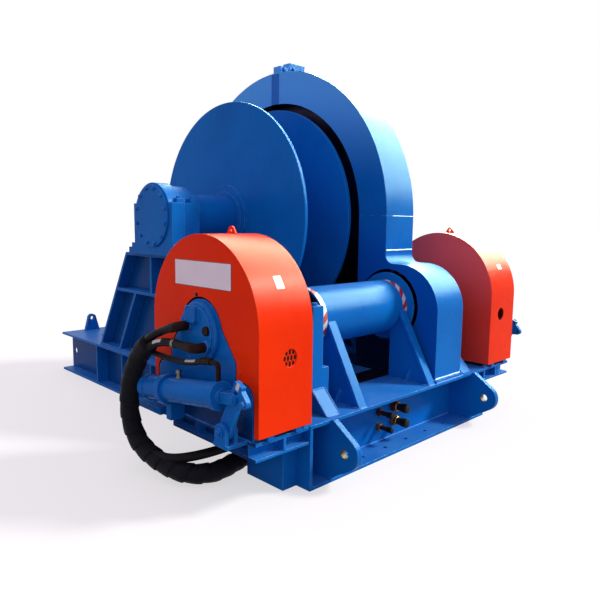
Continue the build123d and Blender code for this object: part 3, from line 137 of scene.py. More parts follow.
sky = bpy.data.worlds.new("pale_sky")
sky.use_nodes = True
sky_tree = sky.node_tree
sky_tree.nodes.clear()
sky_seen = put(sky_tree, "ShaderNodeBackground", {"Color": (1.0, 1.0, 1.0), "Strength": 1.0})
sky_lamp = put(sky_tree, "ShaderNodeBackground", {"Color": (1.0, 0.82, 1.0), "Strength": 0.70})
sky_mix = put(sky_tree, "ShaderNodeMixShader",
              {0: seen_ray(sky_tree), 1: sky_lamp.outputs[0], 2: sky_seen.outputs[0]})
put(sky_tree, "ShaderNodeOutputWorld", {"Surface": sky_mix.outputs[0]})
scene.world = sky

# Floor: a plain pale screed under the skid, which takes a faint shadow. It is lifted towards white
# for the camera, so that it runs into the sky, and is a grey yard to the light it sends back up.
floor_half = 60.0


def blended(tree, share, under, over):
    """The colour under, covered by the colour over as far as share says."""
    return put(tree, "ShaderNodeMix", {0: share, 6: under, 7: over}, data_type="RGBA").outputs[2]


floor_data = bpy.data.meshes.new("pale_floor")
floor_data.from_pydata([(-floor_half, -floor_half, 0.0), (floor_half, -floor_half, 0.0),
                        (floor_half, floor_half, 0.0), (-floor_half, floor_half, 0.0)], [], [(0, 1, 2, 3)])
floor = shown("pale_floor", floor_data)
floor_finish = bpy.data.materials.new("pale_screed")
floor_finish.use_nodes = True
floor_tree = floor_finish.node_tree
floor_tree.nodes.clear()
floor_grain = put(floor_tree, "ShaderNodeTexNoise", {"Scale": 3.0, "Detail": 4.0})
floor_tone = blended(floor_tree, floor_grain.outputs[0], (0.37, 0.37, 0.37), (0.40, 0.40, 0.40))
floor_yard = put(floor_tree, "ShaderNodeBsdfDiffuse", {"Color": (0.24, 0.23, 0.23)})
floor_matt = put(floor_tree, "ShaderNodeBsdfDiffuse", {"Color": floor_tone})
floor_lift = put(floor_tree, "ShaderNodeEmission", {"Strength": 0.60})
floor_bright = put(floor_tree, "ShaderNodeAddShader", {0: floor_matt.outputs[0], 1: floor_lift.outputs[0]})
floor_mix = put(floor_tree, "ShaderNodeMixShader",
                {0: seen_ray(floor_tree), 1: floor_yard.outputs[0], 2: floor_bright.outputs[0]})
put(floor_tree, "ShaderNodeOutputMaterial", {"Surface": floor_mix.outputs[0]})
floor_data.materials.append(floor_finish)

# Skid: rolled beams and cut plate, welded, blasted and sprayed with glossy blue enamel. The film pulls thin
# over plate edges, and their paler colour is also a painted glint. Dust lies on what faces up, the recessed
# webs carry painted shade, and the deck under the shaft tube is painted near black as painted shade.


def new_group(name, inputs, outputs):
    """A shader node group with named value, colour or normal sockets; returns its tree, the sockets that
    come in and the node that puts out."""
    kinds = {"value": "NodeSocketFloat", "colour": "NodeSocketColor", "normal": "NodeSocketVector"}
    tree = bpy.data.node_groups.new(name, "ShaderNodeTree")
    for label, kind in inputs.items():
        tree.interface.new_socket(label, in_out="INPUT", socket_type=kinds[kind])
    for label, kind in outputs.items():
        tree.interface.new_socket(label, in_out="OUTPUT", socket_type=kinds[kind])
    return tree, put(tree, "NodeGroupInput").outputs, put(tree, "NodeGroupOutput")


def spread(tree, socket, low, high, out_low=0.0, out_high=1.0):
    """Maps low to high onto out_low to out_high with a smooth step, clamped outside."""
    return put(tree, "ShaderNodeMapRange", {"Value": socket, "From Min": low, "From Max": high,
                                            "To Min": out_low, "To Max": out_high},
               interpolation_type="SMOOTHSTEP").outputs[0]


def noise_at(tree, scale, detail=3.0, stretch=(1.0, 1.0, 1.0)):
    """Noise on the piece's own coordinates, with scale in waves per metre, times stretch on each axis."""
    place = put(tree, "ShaderNodeTexCoord").outputs["Object"]
    turned_place = put(tree, "ShaderNodeMapping", {"Vector": place, "Scale": stretch}).outputs[0]
    return put(tree, "ShaderNodeTexNoise",
               {"Vector": turned_place, "Scale": scale, "Detail": detail}).outputs[0]


def product(tree, first, second):
    """The product of two values."""
    return reckoned(tree, "MULTIPLY", first, second)


def xyz(tree, vector):
    """The three parts of a vector."""
    return put(tree, "ShaderNodeSeparateXYZ", {0: vector}).outputs


def face_normal(tree):
    """The direction in which the face looks."""
    return put(tree, "ShaderNodeNewGeometry").outputs["Normal"]


cloud_tree, cloud_in, cloud_out = new_group(
    "clouded_surface", {"Colour": "colour", "Deep colour": "colour", "Gloss": "value", "Dull": "value"},
    {"Colour": "colour", "Roughness": "value", "Height": "value"})
cloud_patch = spread(cloud_tree, noise_at(cloud_tree, 1.7, 4.0), 0.30, 0.70)
cloud_sheen = put(cloud_tree, "ShaderNodeMapRange", {
    "Value": noise_at(cloud_tree, 7.0), "To Min": cloud_in["Gloss"], "To Max": cloud_in["Dull"]})
fill(cloud_out, {"Colour": blended(cloud_tree, cloud_patch, cloud_in["Deep colour"], cloud_in["Colour"]),
                 "Roughness": cloud_sheen.outputs[0], "Height": noise_at(cloud_tree, 140.0, 1.0)})

edge_tree, edge_in, edge_out = new_group(
    "plate_edges", {"Width": "value", "Reach": "value"}, {"Mask": "value", "Normal": "normal"})
edge_round = put(edge_tree, "ShaderNodeBevel", {"Radius": edge_in["Width"]}, samples=6).outputs[0]
edge_turn = put(edge_tree, "ShaderNodeVectorMath", {0: edge_round, 1: face_normal(edge_tree)},
                operation="DOT_PRODUCT")
edge_bare = put(edge_tree, "ShaderNodeMapRange",
                {"Value": edge_turn.outputs["Value"], "From Min": 0.995, "From Max": 0.90,
                 "To Min": 0.0, "To Max": edge_in["Reach"]})
edge_patch = spread(edge_tree, noise_at(edge_tree, 18.0), 0.35, 0.62)
fill(edge_out, {"Mask": product(edge_tree, edge_bare.outputs[0], edge_patch), "Normal": edge_round})

dust_tree, dust_in, dust_out = new_group("settled_dust", {"Amount": "value"}, {"Mask": "value"})
dust_level = spread(dust_tree, xyz(dust_tree, face_normal(dust_tree))["Z"], 0.55, 0.98)
dust_patch = spread(dust_tree, noise_at(dust_tree, 5.0, 5.0), 0.35, 0.75, 0.35, 1.0)
dust_share = product(dust_tree, dust_level, dust_patch)
fill(dust_out, {"Mask": product(dust_tree, dust_share, dust_in["Amount"])})


def placed(tree, group, **values):
    """A node group placed in a material, with its inputs set by name and spaces as underscores."""
    return put(tree, "ShaderNodeGroup", {name.replace("_", " "): value for name, value in values.items()},
               node_tree=group).outputs


def new_finish(name):
    """A material with one Principled shader; returns the material, its nodes and that shader."""
    material = bpy.data.materials.new(name)
    material.use_nodes = True
    tree = material.node_tree
    tree.nodes.clear()
    shader = put(tree, "ShaderNodeBsdfPrincipled")
    put(tree, "ShaderNodeOutputMaterial", {"Surface": shader.outputs[0]})
    return material, tree, shader


def clouded(name, colour, deep, gloss, dull):
    """A material whose colour and sheen wander; returns it, its shader and what the cloud puts out."""
    material, tree, shader = new_finish(name)
    surface = placed(tree, cloud_tree, Colour=colour, Deep_colour=deep, Gloss=gloss, Dull=dull)
    fill(shader, {"Base Color": surface["Colour"], "Roughness": surface["Roughness"]})
    return material, shader, surface


def stained(shader, mask, colour):
    """Covers the base colour with another as far as the mask says."""
    under = shader.inputs["Base Color"].links[0].from_socket
    fill(shader, {"Base Color": blended(shader.id_data, mask, under, colour)})


def relief(shader, height, depth, normal=None):
    """Feeds a height, in shares of depth metres, to the shader's normal through a bump."""
    bump = put(shader.id_data, "ShaderNodeBump", {"Height": height, "Distance": depth, "Strength": 1.0})
    if normal is not None:
        fill(bump, {"Normal": normal})
    fill(shader, {"Normal": bump.outputs[0]})


def enamel(name, colour, deep, thin, dust, edge_width):
    """Glossy enamel: a clouded film, paler on edges where it is pulled thin and as a painted glint, with
    dust on top.
    """
    material, shader, film = clouded(name, colour, deep, gloss=0.22, dull=0.34)
    tree = shader.id_data
    edges = placed(tree, edge_tree, Width=edge_width, Reach=0.75)
    dusty = placed(tree, dust_tree, Amount=0.12)
    stained(shader, edges["Mask"], thin)
    stained(shader, dusty["Mask"], dust)
    fill(shader, {"Roughness": reckoned(tree, "ADD", film["Roughness"], dusty["Mask"]),
                  "Specular IOR Level": 0.035})
    relief(shader, film["Height"], depth=0.00025, normal=edges["Normal"])
    return material, tree, shader


def coat(material, *names):
    """Gives CAD nodes their finish."""
    for name in names:
        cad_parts[name].material_slots[0].material = material


def from_point(tree, point):
    """The vector from a point to the place on the piece, in metres."""
    place = put(tree, "ShaderNodeTexCoord").outputs["Object"]
    return put(tree, "ShaderNodeVectorMath", {0: place, 1: point}, operation="SUBTRACT").outputs[0]


def place_parts(tree, point=(0.0, 0.0, 0.0)):
    """The parts of the vector from a point to the place on the piece, in metres."""
    return xyz(tree, from_point(tree, point))


def side_faces(tree, low=-1.0, high=0.0, start=1.0, end=1.0):
    """A mask of the faces that look along the shaft. It runs from start to end between two heights."""
    along = xyz(tree, face_normal(tree))["X"]
    flat = spread(tree, product(tree, along, along), 0.6, 0.9)
    return product(tree, flat, spread(tree, place_parts(tree)["Z"], low, high, start, end))


def recess(tree, inner, outer, share):
    """A share on side faces between two distances from the middle, where webs lie behind plate edges. It
    fades over 10 mm."""
    reach = reckoned(tree, "ABSOLUTE", place_parts(tree)["X"])
    band = product(tree, spread(tree, reach, inner, inner + 0.01),
                   spread(tree, reach, outer - 0.01, outer, share, 0.0))
    return product(tree, band, side_faces(tree))


blue = (0.004, 0.180, 0.600)
blue_deep = (0.003, 0.142, 0.510)
# Paler edge colour: thin paint, and also a painted glint along the edges.
blue_thin_and_glint = (0.16, 0.42, 0.88)
blue_dust = (0.30, 0.45, 0.72)
# Painted shade: a dark navy laid over webs and low faces that lie in shade.
shade_navy = (0.0015, 0.018, 0.095)
# Painted shade: near black, for the deck and the casing's lower front corner.
shade_black = (0.004, 0.005, 0.009)
wing_webs = (1.300, 1.455)
beam_webs = (0.720, 0.860)


def blue_coat(name, edge_width=0.005):
    """A coat of the skid's blue enamel, as enamel gives it."""
    return enamel(name, blue, blue_deep, blue_thin_and_glint, blue_dust, edge_width)


blue_enamel = blue_coat("blue_enamel")[0]
coat(blue_enamel, "front_beam", "rear_beam", "cross_beams", "rear_padeyes")
wing_enamel, wing_tree, wing_shader = blue_coat("wing_enamel")
stained(wing_shader, recess(wing_tree, *wing_webs, share=0.88), shade_navy)
coat(wing_enamel, "left_wing", "right_wing")
web_enamel, web_tree, web_shader = blue_coat("web_enamel")
stained(web_shader, recess(web_tree, *beam_webs, share=0.65), shade_navy)
coat(web_enamel, "left_side_beam", "right_side_beam")
# Painted shade: the deck plate under the shaft tube is painted near black, where it lies in deep shade.
shaded_deck = enamel("shaded_deck", (0.008, 0.010, 0.022), shade_black, (0.020, 0.030, 0.060),
                     (0.015, 0.016, 0.022), 0.004)[0]
coat(shaded_deck, "deck_plate")

# Front lifting plates: thick plate with a bored eye, welded to the front beam and painted with it.
# Shackle pins have rubbed the bore to bare brown steel.
eye_bore = 0.028
eye_middle = (0.0, -1.86144, 0.210)


def laid_bare(shader, mask, colour, roughness):
    """Takes the coat off where the mask says, down to metal of a colour and roughness."""
    stained(shader, mask, colour)
    coat_sheen = shader.inputs["Roughness"].links[0].from_socket
    sheen = put(shader.id_data, "ShaderNodeMix", {0: mask, 2: coat_sheen, 3: roughness})
    fill(shader, {"Roughness": sheen.outputs[0], "Metallic": mask})


lifting_enamel, lifting_tree, lifting_shader = blue_coat("lifting_enamel")
eye_across = put(lifting_tree, "ShaderNodeVectorMath",
                 {0: from_point(lifting_tree, eye_middle), 1: (0.0, 1.0, 1.0)}, operation="MULTIPLY")
eye_reach = put(lifting_tree, "ShaderNodeVectorMath", {0: eye_across.outputs[0]}, operation="LENGTH")
eye_worn = spread(lifting_tree, eye_reach.outputs["Value"], eye_bore + 0.001, eye_bore + 0.004, 1.0, 0.0)
laid_bare(lifting_shader, eye_worn, (0.075, 0.048, 0.038), roughness=0.70)
coat(lifting_enamel, "front_padeyes")

# Skid welds: fillet beads run along the plate joints and painted over. The ones at the front are coloured
# pale as a painted highlight, as are those on the feet of the other plates that stand on the skid.


def even_line(line, step):
    """The same line with points at even steps, and the distance of each along it."""
    lengths = np.concatenate(([0.0], np.cumsum(np.linalg.norm(np.diff(line, axis=0), axis=1))))
    count = max(int(round(lengths[-1] / step)), 8) + 1
    along = np.linspace(0.0, lengths[-1], count)
    return np.stack([np.interp(along, lengths, line[:, axis]) for axis in range(3)], axis=1), along


def grid_quads(rows, columns):
    """Quads of a grid of rows by columns whose last column joins the first."""
    index = np.arange(rows * columns).reshape(rows, columns)
    after = np.roll(index, -1, axis=1)
    return np.stack([index[:-1], after[:-1], after[1:], index[1:]], axis=-1).reshape(-1, 4)


def tube_rings(places, radius, around, lean=(0.6, 0.6, 0.55)):
    """Rings round a line: place + radius(row, angle) * (cos * side + sin * over), where side is the
    lean direction squared to the line and over is square to both."""
    along = np.gradient(places, axis=0)
    along /= np.linalg.norm(along, axis=1, keepdims=True)
    side = np.array(lean) - along * (along @ np.array(lean))[:, None]
    side /= np.linalg.norm(side, axis=1, keepdims=True)
    over = np.cross(along, side)
    angle = np.linspace(0.0, 2.0 * np.pi, around, endpoint=False)
    ring = np.cos(angle)[None, :, None] * side[:, None] + np.sin(angle)[None, :, None] * over[:, None]
    return places[:, None] + radius[:, :, None] * ring


own_map = "length_and_girth"


def mesh_piece(name, vertices, quads, material, body, uv=None):
    """A mesh object at the origin, closed where its points meet and creased where it turns sharply, with
    its finish, that rides on a body. The map, if any, has a pair of numbers for each corner of each quad."""
    data = bpy.data.meshes.new(name)
    data.from_pydata(vertices.reshape(-1, 3).tolist(), [], quads.tolist())
    if uv is not None:
        data.uv_layers.new(name=own_map).data.foreach_set("uv", uv.reshape(-1))
    shell = bmesh.new()
    shell.from_mesh(data)
    bmesh.ops.remove_doubles(shell, verts=shell.verts, dist=0.000001)
    shell.to_mesh(data)
    shell.free()
    data.polygons.foreach_set("use_smooth", np.ones(len(data.polygons), dtype=bool))
    data.set_sharp_from_angle(angle=0.6)
    data.materials.append(material)
    piece = shown(name, data)
    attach(piece, body)
    return piece


bead_step = 0.004
bead_puddle = 0.012


def beads(name, runs, radius, material, body="skid"):
    """Weld beads: a tube along each run, half sunk in the corner that it fills. Its radius swells by a tenth
    with each puddle, wanders a little less over longer stretches, and falls to nothing in a quarter
    circle at both ends."""
    shapes = []
    quads = []
    count = 0
    for run in runs:
        places, along = even_line(np.array(run, dtype=float), bead_step)
        swell = 1.0 + 0.10 * np.sin(along * 2.0 * np.pi / bead_puddle) + 0.08 * np.sin(along * 31.0)
        inward = np.clip(np.minimum(along, along[-1] - along) / radius, 0.0, 1.0)
        reach = radius * swell * np.sqrt(1.0 - (1.0 - inward) ** 2)
        shapes.append(tube_rings(places, np.repeat(reach[:, None], 8, axis=1), 8).reshape(-1, 3))
        quads.append(grid_quads(len(places), 8) + count)
        count += len(shapes[-1])
    return mesh_piece(name, np.concatenate(shapes), np.concatenate(quads), material, body)


def both_sides(points):
    """The points as given and mirrored to the other side of the skid."""
    points = np.array(points, dtype=float)
    return np.concatenate([points, points * (-1.0, 1.0, 1.0)])


# Painted highlight: welds and studs coloured pale blue, as if catching the light.
seam_glint_enamel = enamel("seam_glint_enamel", (0.09, 0.32, 0.76), (0.03, 0.20, 0.64), (0.55, 0.72, 0.94),
                     (0.55, 0.68, 0.86), 0.002)[0]
deck_top = 0.390
beads("skid_front_seam", [[(-0.785, -1.5584, 0.020), (0.785, -1.5584, 0.020)]], 0.006, seam_glint_enamel)
pedestal_front = -1.0136
pedestal_rear = 1.1264
pedestal_runs = [[(x, pedestal_front, deck_top), (x, pedestal_rear, deck_top)] for x in (-0.885, -0.689)]
beads("pedestal_foot_welds", both_sides(pedestal_runs), 0.008, blue_enamel)

# Drum pedestals and bearings: welded box pedestals, with painted shade in their webs, under cast plummer
# blocks that are split above the shaft. Hexagon bolts hold the feet, the caps and the round end covers, and
# are painted over with the rest.


def turned(steps, around):
    """A lathe shape: for each (height, radius) step, radius * (cos, sin) round the z axis at that height."""
    height, radius = np.array(steps).T
    angle = np.linspace(0.0, 2.0 * np.pi, around, endpoint=False)
    return np.stack([radius[:, None] * np.cos(angle), radius[:, None] * np.sin(angle),
                     np.repeat(height[:, None], around, axis=1)], axis=-1)


def hex_head(across):
    """A hexagon head on its washer: a lathe shape of twelve points a row, where every second point of the
    hexagon's rows is moved out by 1 / cos 30 degrees."""
    height = np.array((0.0, 0.0, 0.10, 0.10, 0.48, 0.54, 0.54)) * across
    radius = np.array((0.0, 0.62, 0.62, 0.50, 0.50, 0.46, 0.0)) * across
    shape = turned(np.stack([height, radius], axis=1), 12)
    shape[3:5, ::2, :2] /= np.cos(np.pi / 6.0)
    return shape


def copies(name, shape, places, axes, material, body="skid"):
    """One mesh of a shape at each place: place + x * side + y * over + z * axis, where side is square to the
    axis and over to both. Each copy is turned 0.6 rad further than the last."""
    places = np.array(places, dtype=float)
    axes = np.broadcast_to(np.array(axes, dtype=float), places.shape)
    lean = np.where(np.abs(axes[:, 2:]) > 0.8, (1.0, 0.0, 0.0), (0.0, 0.0, 1.0))
    side = np.cross(lean, axes)
    side /= np.linalg.norm(side, axis=1, keepdims=True)
    turn = np.exp(0.6j * np.arange(len(places)))[:, None, None]
    flat = turn * (shape[..., 0] + 1.0j * shape[..., 1])
    points = (places[:, None, None] + flat.real[..., None] * side[:, None, None]
              + flat.imag[..., None] * np.cross(axes, side)[:, None, None]
              + shape[None, ..., 2:] * axes[:, None, None])
    count = shape.shape[0] * shape.shape[1]
    quads = grid_quads(*shape.shape[:2])[None] + count * np.arange(len(places))[:, None, None]
    return mesh_piece(name, points, quads.reshape(-1, 4), material, body)


def paired(name, shape, places, axis, material):
    """Copies of a shape at places on the left of the skid and at their mirror places on its right."""
    places = np.array(places, dtype=float)
    axes = np.repeat(both_sides([axis]), len(places), axis=0)
    return copies(name, shape, both_sides(places), axes, material, "skid")


def circle(x, y, z, radius, first, count):
    """Points evenly spaced on a circle round a line along x, from a first angle in degrees."""
    angle = np.radians(first) + 2.0 * np.pi * np.arange(count) / count
    return np.stack([np.full(count, x), y + radius * np.cos(angle), z + radius * np.sin(angle)], axis=1)


outwards = (-1.0, 0.0, 0.0)
upwards = (0.0, 0.0, 1.0)
drum_y = 0.05644
drum_z = 1.57495
cover_face = -0.951
cap_top = 1.70695
foot_top = 1.32695
coat(web_enamel, "left_pedestal", "right_pedestal")
coat(blue_enamel, "left_bearing_base", "right_bearing_base", "bearing_caps", "bearing_covers")
paired("bearing_cover_bolts", hex_head(0.024), circle(cover_face, drum_y, drum_z, 0.215, 15.0, 12), outwards,
       blue_enamel)
paired("bearing_cap_bolts", hex_head(0.036),
       [(x, drum_y + y, cap_top) for x in (-0.850, -0.730) for y in (-0.240, 0.240)], upwards, blue_enamel)
paired("bearing_foot_bolts", hex_head(0.041),
       [(x, drum_y + y, foot_top) for x in (-0.850, -0.735) for y in (-0.354, 0.354)], upwards, blue_enamel)

# Drum: a barrel between two plate flanges, welded up, on a through shaft. It is painted like the
# skid, and the welds at the flanges show as a soft ring.
barrel_weld = 0.402
coat(blue_enamel, "drum_flanges", "drum_barrel", "gear_spacer", "drum_shaft")


def ring_run(x, radius):
    """A circle round the drum's axis, drawn a little past its start."""
    angle = np.linspace(0.0, 2.02 * np.pi, 240)
    return np.stack([np.full(240, x), drum_y + radius * np.cos(angle), drum_z + radius * np.sin(angle)],
                    axis=1)


beads("drum_welds", [ring_run(x, barrel_weld) for x in (-0.188, 0.267)], 0.009, blue_enamel, "drum")

# Gear train: a cut steel bull gear on the drum and a pinion on its ground shaft. The teeth are dark
# with grease, and the bushes are bronze.


def bare_metal(name, colour, stain, gloss, dull, marks, depth):
    """Bare metal, clouded by handling, with tool marks: noise of so many waves per metre on each axis."""
    material, shader = clouded(name, colour, stain, gloss, dull)[:2]
    fill(shader, {"Metallic": 1.0})
    relief(shader, noise_at(shader.id_data, 1.0, 2.0, marks), depth)
    return material


greased_steel = bare_metal("greased_steel", (0.060, 0.048, 0.105), (0.016, 0.012, 0.032), 0.25, 0.5,
                           (60.0, 60.0, 60.0), 0.0006)
ground_steel = bare_metal("ground_steel", (0.62, 0.63, 0.65), (0.50, 0.50, 0.51), 0.16, 0.30,
                          (700.0, 12.0, 12.0), 0.00005)
bush_bronze = bare_metal("bush_bronze", (0.60, 0.38, 0.15), (0.42, 0.24, 0.09), 0.25, 0.4,
                         (500.0, 15.0, 15.0), 0.00008)
coat(greased_steel, "bull_gear", "pinion")
coat(ground_steel, "pinion_shaft")
coat(bush_bronze, "drum_bushes", "pinion_bushes")

# Gear casing: bent sheet in four pieces round the gear and the pinion, bolted together at the crown lugs.
# The side faces carry a painted sheen near the crown and painted shade low down, and the lower front corner
# of the left face is painted near black as shade. Pale sealant shows at the front joint, under the ledge and
# at the foot.
blue_sheen = (0.10, 0.44, 0.98)
blue_shaded = (0.0015, 0.085, 0.46)
casing_left = 0.327
casing_right = 0.674
casing_front = -1.2296
casing_foot_front = -1.71344
casing_foot_edge = -1.74344
casing_foot_corner = (0.325, -1.36, 0.0)
coat(blue_enamel, "casing_rear_lower")
# Painted sheen: the side faces grow paler towards the crown.
crown_sheen_enamel, crown_tree, crown_shader = blue_coat("crown_sheen_enamel")
stained(crown_shader, side_faces(crown_tree, low=1.80, high=2.75, start=0.0, end=0.95), blue_sheen)
coat(crown_sheen_enamel, "casing_front_upper", "casing_rear_upper")
# Painted shade: side faces darker low down, and the lower front corner near black.
foot_enamel, foot_tree, foot_shader = blue_coat("foot_enamel")
foot_parts = place_parts(foot_tree, casing_foot_corner)
foot_side = product(foot_tree, spread(foot_tree, foot_parts["X"], 0.004, 0.008, 1.0, 0.0),
                    spread(foot_tree, foot_parts["Y"], -0.08, 0.0))
foot_shade = product(foot_tree, foot_side, spread(foot_tree, foot_parts["Z"], 0.70, 0.86, 0.94, 0.0))
stained(foot_shader, side_faces(foot_tree, low=1.25, high=1.64, start=0.80, end=0.0), blue_shaded)
stained(foot_shader, foot_shade, shade_black)
coat(foot_enamel, "casing_front_lower")
strap_enamel = enamel("strap_enamel", (0.035, 0.215, 0.660), (0.028, 0.180, 0.580), blue_thin_and_glint, blue_dust,
                      0.004)[0]
coat(strap_enamel, "casing_strap")
crown_bolts = ((0.391, 2.893), (0.505, 2.912), (0.598, 2.912))
copies("crown_lug_bolts", hex_head(0.030),
       [(x, drum_y + y, z) for y in (-0.045, 0.045) for x, z in crown_bolts],
       np.repeat([(0.0, -1.0, 0.0), (0.0, 1.0, 0.0)], len(crown_bolts), axis=0), blue_enamel)
sealant, sealant_shader, sealant_surface = clouded("pale_sealant", (0.72, 0.78, 0.84), (0.30, 0.48, 0.74),
                                                   gloss=0.35, dull=0.6)
relief(sealant_shader, sealant_surface["Height"], depth=0.0008)
for name, left, y, z, radius in (("casing_ledge_sealant", casing_left, casing_front, 1.335, 0.006),
                                 ("casing_joint_sealant", 0.400, casing_front, 1.600, 0.003),
                                 ("casing_foot_sealant", casing_left, casing_foot_front, 0.410, 0.006)):
    beads(name, [[(left, y, z), (casing_right, y, z)]], radius, sealant)
beads("casing_foot_weld", [[(x, casing_foot_edge, deck_top) for x in (0.300, 0.676)]], 0.006, seam_glint_enamel)

# Pinion shaft tube: rolled pipe over the shaft, on two welded stands. A turn of red and white tape
# is stuck round each end.
pinion_y = -1.26244
pinion_z = 0.9145
tube_radius = 0.198
stand_middles = (-0.525, 0.250)
stand_half = 0.035
stand_front = -1.7414
tape_stripe = 0.0519


def length_map(rows, columns, along, girth):
    """A map in metres for the quads of grid_quads: along the piece, row by row, and round it."""
    row = np.repeat(np.arange(rows - 1), columns)
    column = np.tile(np.arange(columns), rows - 1)
    u = np.stack([along[row], along[row], along[row + 1], along[row + 1]], axis=1)
    v = np.stack([column, column + 1, column + 1, column], axis=1) * girth / columns
    return np.stack([u, v], axis=-1)


def mottled(tree, scale, under, over, detail=3.0):
    """A colour that wanders between two, with scale in waves per metre."""
    return blended(tree, noise_at(tree, scale, detail), under, over)


def uneven_sheen(tree, scale, gloss, dull):
    """A roughness that wanders between gloss and dull, with scale in waves per metre."""
    return spread(tree, noise_at(tree, scale), 0.2, 0.8, gloss, dull)


coat(blue_enamel, "shaft_tube", "tube_stands")
stand_fronts = [[(x - stand_half, stand_front, deck_top), (x + stand_half, stand_front, deck_top)]
                for x in stand_middles]
stand_sides = [[(x + side, stand_front, deck_top), (x + side, -1.690, deck_top)]
               for x in stand_middles for side in (-stand_half, stand_half)]
beads("stand_foot_welds", stand_fronts + stand_sides, 0.006, seam_glint_enamel)
tape_film, tape_tree, tape_shader = new_finish("striped_tape")
tape_parts = xyz(tape_tree, put(tape_tree, "ShaderNodeUVMap", uv_map=own_map).outputs[0])
tape_slant = reckoned(tape_tree, "ADD", tape_parts["X"], tape_parts["Y"])
tape_turn = reckoned(tape_tree, "PINGPONG", tape_slant, tape_stripe)
tape_red = mottled(tape_tree, 14.0, (0.44, 0.012, 0.018), (0.56, 0.020, 0.026))
tape_white = mottled(tape_tree, 9.0, (0.62, 0.62, 0.64), (0.78, 0.78, 0.78))
tape_share = spread(tape_tree, tape_turn, 0.0254, 0.0265)
fill(tape_shader, {"Base Color": blended(tape_tree, tape_share, tape_red, tape_white),
                   "Roughness": uneven_sheen(tape_tree, 30.0, 0.30, 0.45)})
relief(tape_shader, noise_at(tape_tree, 60.0), depth=0.0003)


def tape_turns(name, start, end):
    """A turn of tape on the tube: a lathe shape 0.8 mm thick round its axis, from start to end on x."""
    under = tube_radius - 0.0004
    outer = tube_radius + 0.0008
    along = np.array((0.0, 0.0, end - start, end - start))
    shape = turned(np.stack([along, (under, outer, outer, under)], axis=1), 96)
    points = np.stack([start + shape[..., 2], pinion_y + shape[..., 0], pinion_z + shape[..., 1]], axis=-1)
    mesh_piece(name, points, grid_quads(4, 96), tape_film, "skid",
               length_map(4, 96, along, 2.0 * np.pi * tube_radius))


tape_turns("left_tape", -0.605, -0.567)
tape_turns("right_tape", 0.255, 0.315)

# Pinion pedestals: thick plate on a wider foot with a wedge in front, welded to the skid. A bolt
# stands at each end of the top.
wedge_left = -0.824
wedge_right = -0.718
wedge_front = -1.71344
wedge_rear = -1.58244
wedge_top = 0.528
coat(blue_enamel, "left_pinion_pedestal", "right_pinion_pedestal")
paired("pinion_pedestal_bolts", hex_head(0.036), [(-0.785, y, 1.040) for y in (-1.550, -1.085)], upwards,
       blue_enamel)
wedge_runs = [[(wedge_left, wedge_front, deck_top), (wedge_right, wedge_front, deck_top)],
              [(wedge_left, wedge_rear, wedge_top), (wedge_right, wedge_rear, wedge_top)],
              [(-0.716, wedge_rear, wedge_top), (-0.716, wedge_front, deck_top)],
              [(-0.826, -1.60044, 0.509), (-0.826, wedge_front, deck_top)]]
beads("pinion_pedestal_welds", both_sides(wedge_runs), 0.005, seam_glint_enamel)

# Brakes: cast iron drums on the pinion shaft with steel bands round them, under the hoods. Brown lining
# dust clouds the bare iron.
brake_metal = bare_metal("brake_metal", (0.24, 0.22, 0.21), (0.10, 0.065, 0.045), 0.35, 0.6,
                         (300.0, 20.0, 20.0), 0.0002)
coat(brake_metal, "brake_drums", "brake_bands")

# Motors: hydraulic motors set in pear-shaped plates that stand on the wings, where grime gathers at the
# foot. The covers have a ring of small bolts, and a square cap is screwed on at the top.
motor_face = -1.435
motor_cap = np.array((-1.473, -1.24744, 1.0225))
cap_bolt_reach = 0.034
plate_face = -1.405
coat(blue_enamel, "left_motor", "right_motor")
plate_enamel, plate_tree, plate_shader = blue_coat("plate_enamel")
stained(plate_shader, side_faces(plate_tree, low=0.46, high=0.62, start=0.85, end=0.0), shade_navy)
coat(plate_enamel, "motor_plates")
paired("motor_cover_bolts", hex_head(0.013), circle(motor_face, pinion_y, pinion_z, 0.1625, 22.5, 8),
       outwards, blue_enamel)
paired("motor_cap_bolts", hex_head(0.010),
       [motor_cap + (0.0, y, z) for y in (-cap_bolt_reach, cap_bolt_reach)
        for z in (-cap_bolt_reach, cap_bolt_reach)], outwards, blue_enamel)
beads("motor_plate_welds", both_sides([[(plate_face, y, deck_top) for y in (-1.715, -0.810)]]), 0.006,
      blue_enamel)

# Hoods: bent sheet over the brakes, sprayed orange so that they stand out, with a lifting eye on top and
# a slotted vent. Their feet are painted with the skid, and the right one's inner side carries a painted pink
# reflection, stronger towards the top. Blank white plates and tags are riveted or stuck on.
orange = (0.98, 0.040, 0.003)
orange_reflection = (0.95, 0.23, 0.26)
hood_foot = 0.417
hood_face = plate_face
hood_radius = 0.506
hood_arc_z = 0.964
orange_enamel, orange_tree, orange_shader = enamel(
    "orange_enamel", orange, (0.88, 0.031, 0.0025), (0.98, 0.20, 0.08), (0.85, 0.30, 0.16), 0.004)
hood_parts = place_parts(orange_tree)
# Painted reflection: a pinkish cast on the right hood's side faces, stronger towards the top.
reflection_side = product(orange_tree, spread(orange_tree, hood_parts["X"], 0.90, 0.95),
                      spread(orange_tree, hood_parts["X"], 1.15, 1.20, 0.5, 0.0))
reflection_height = side_faces(orange_tree, low=0.75, high=1.35, start=0.25, end=1.0)
blue_foot = spread(orange_tree, hood_parts["Z"], hood_foot - 0.002, hood_foot, 1.0, 0.0)
stained(orange_shader, product(orange_tree, reflection_side, reflection_height), orange_reflection)
stained(orange_shader, blue_foot, blue_deep)
coat(orange_enamel, "left_guard", "right_guard", "guard_eyes", "guard_vent")


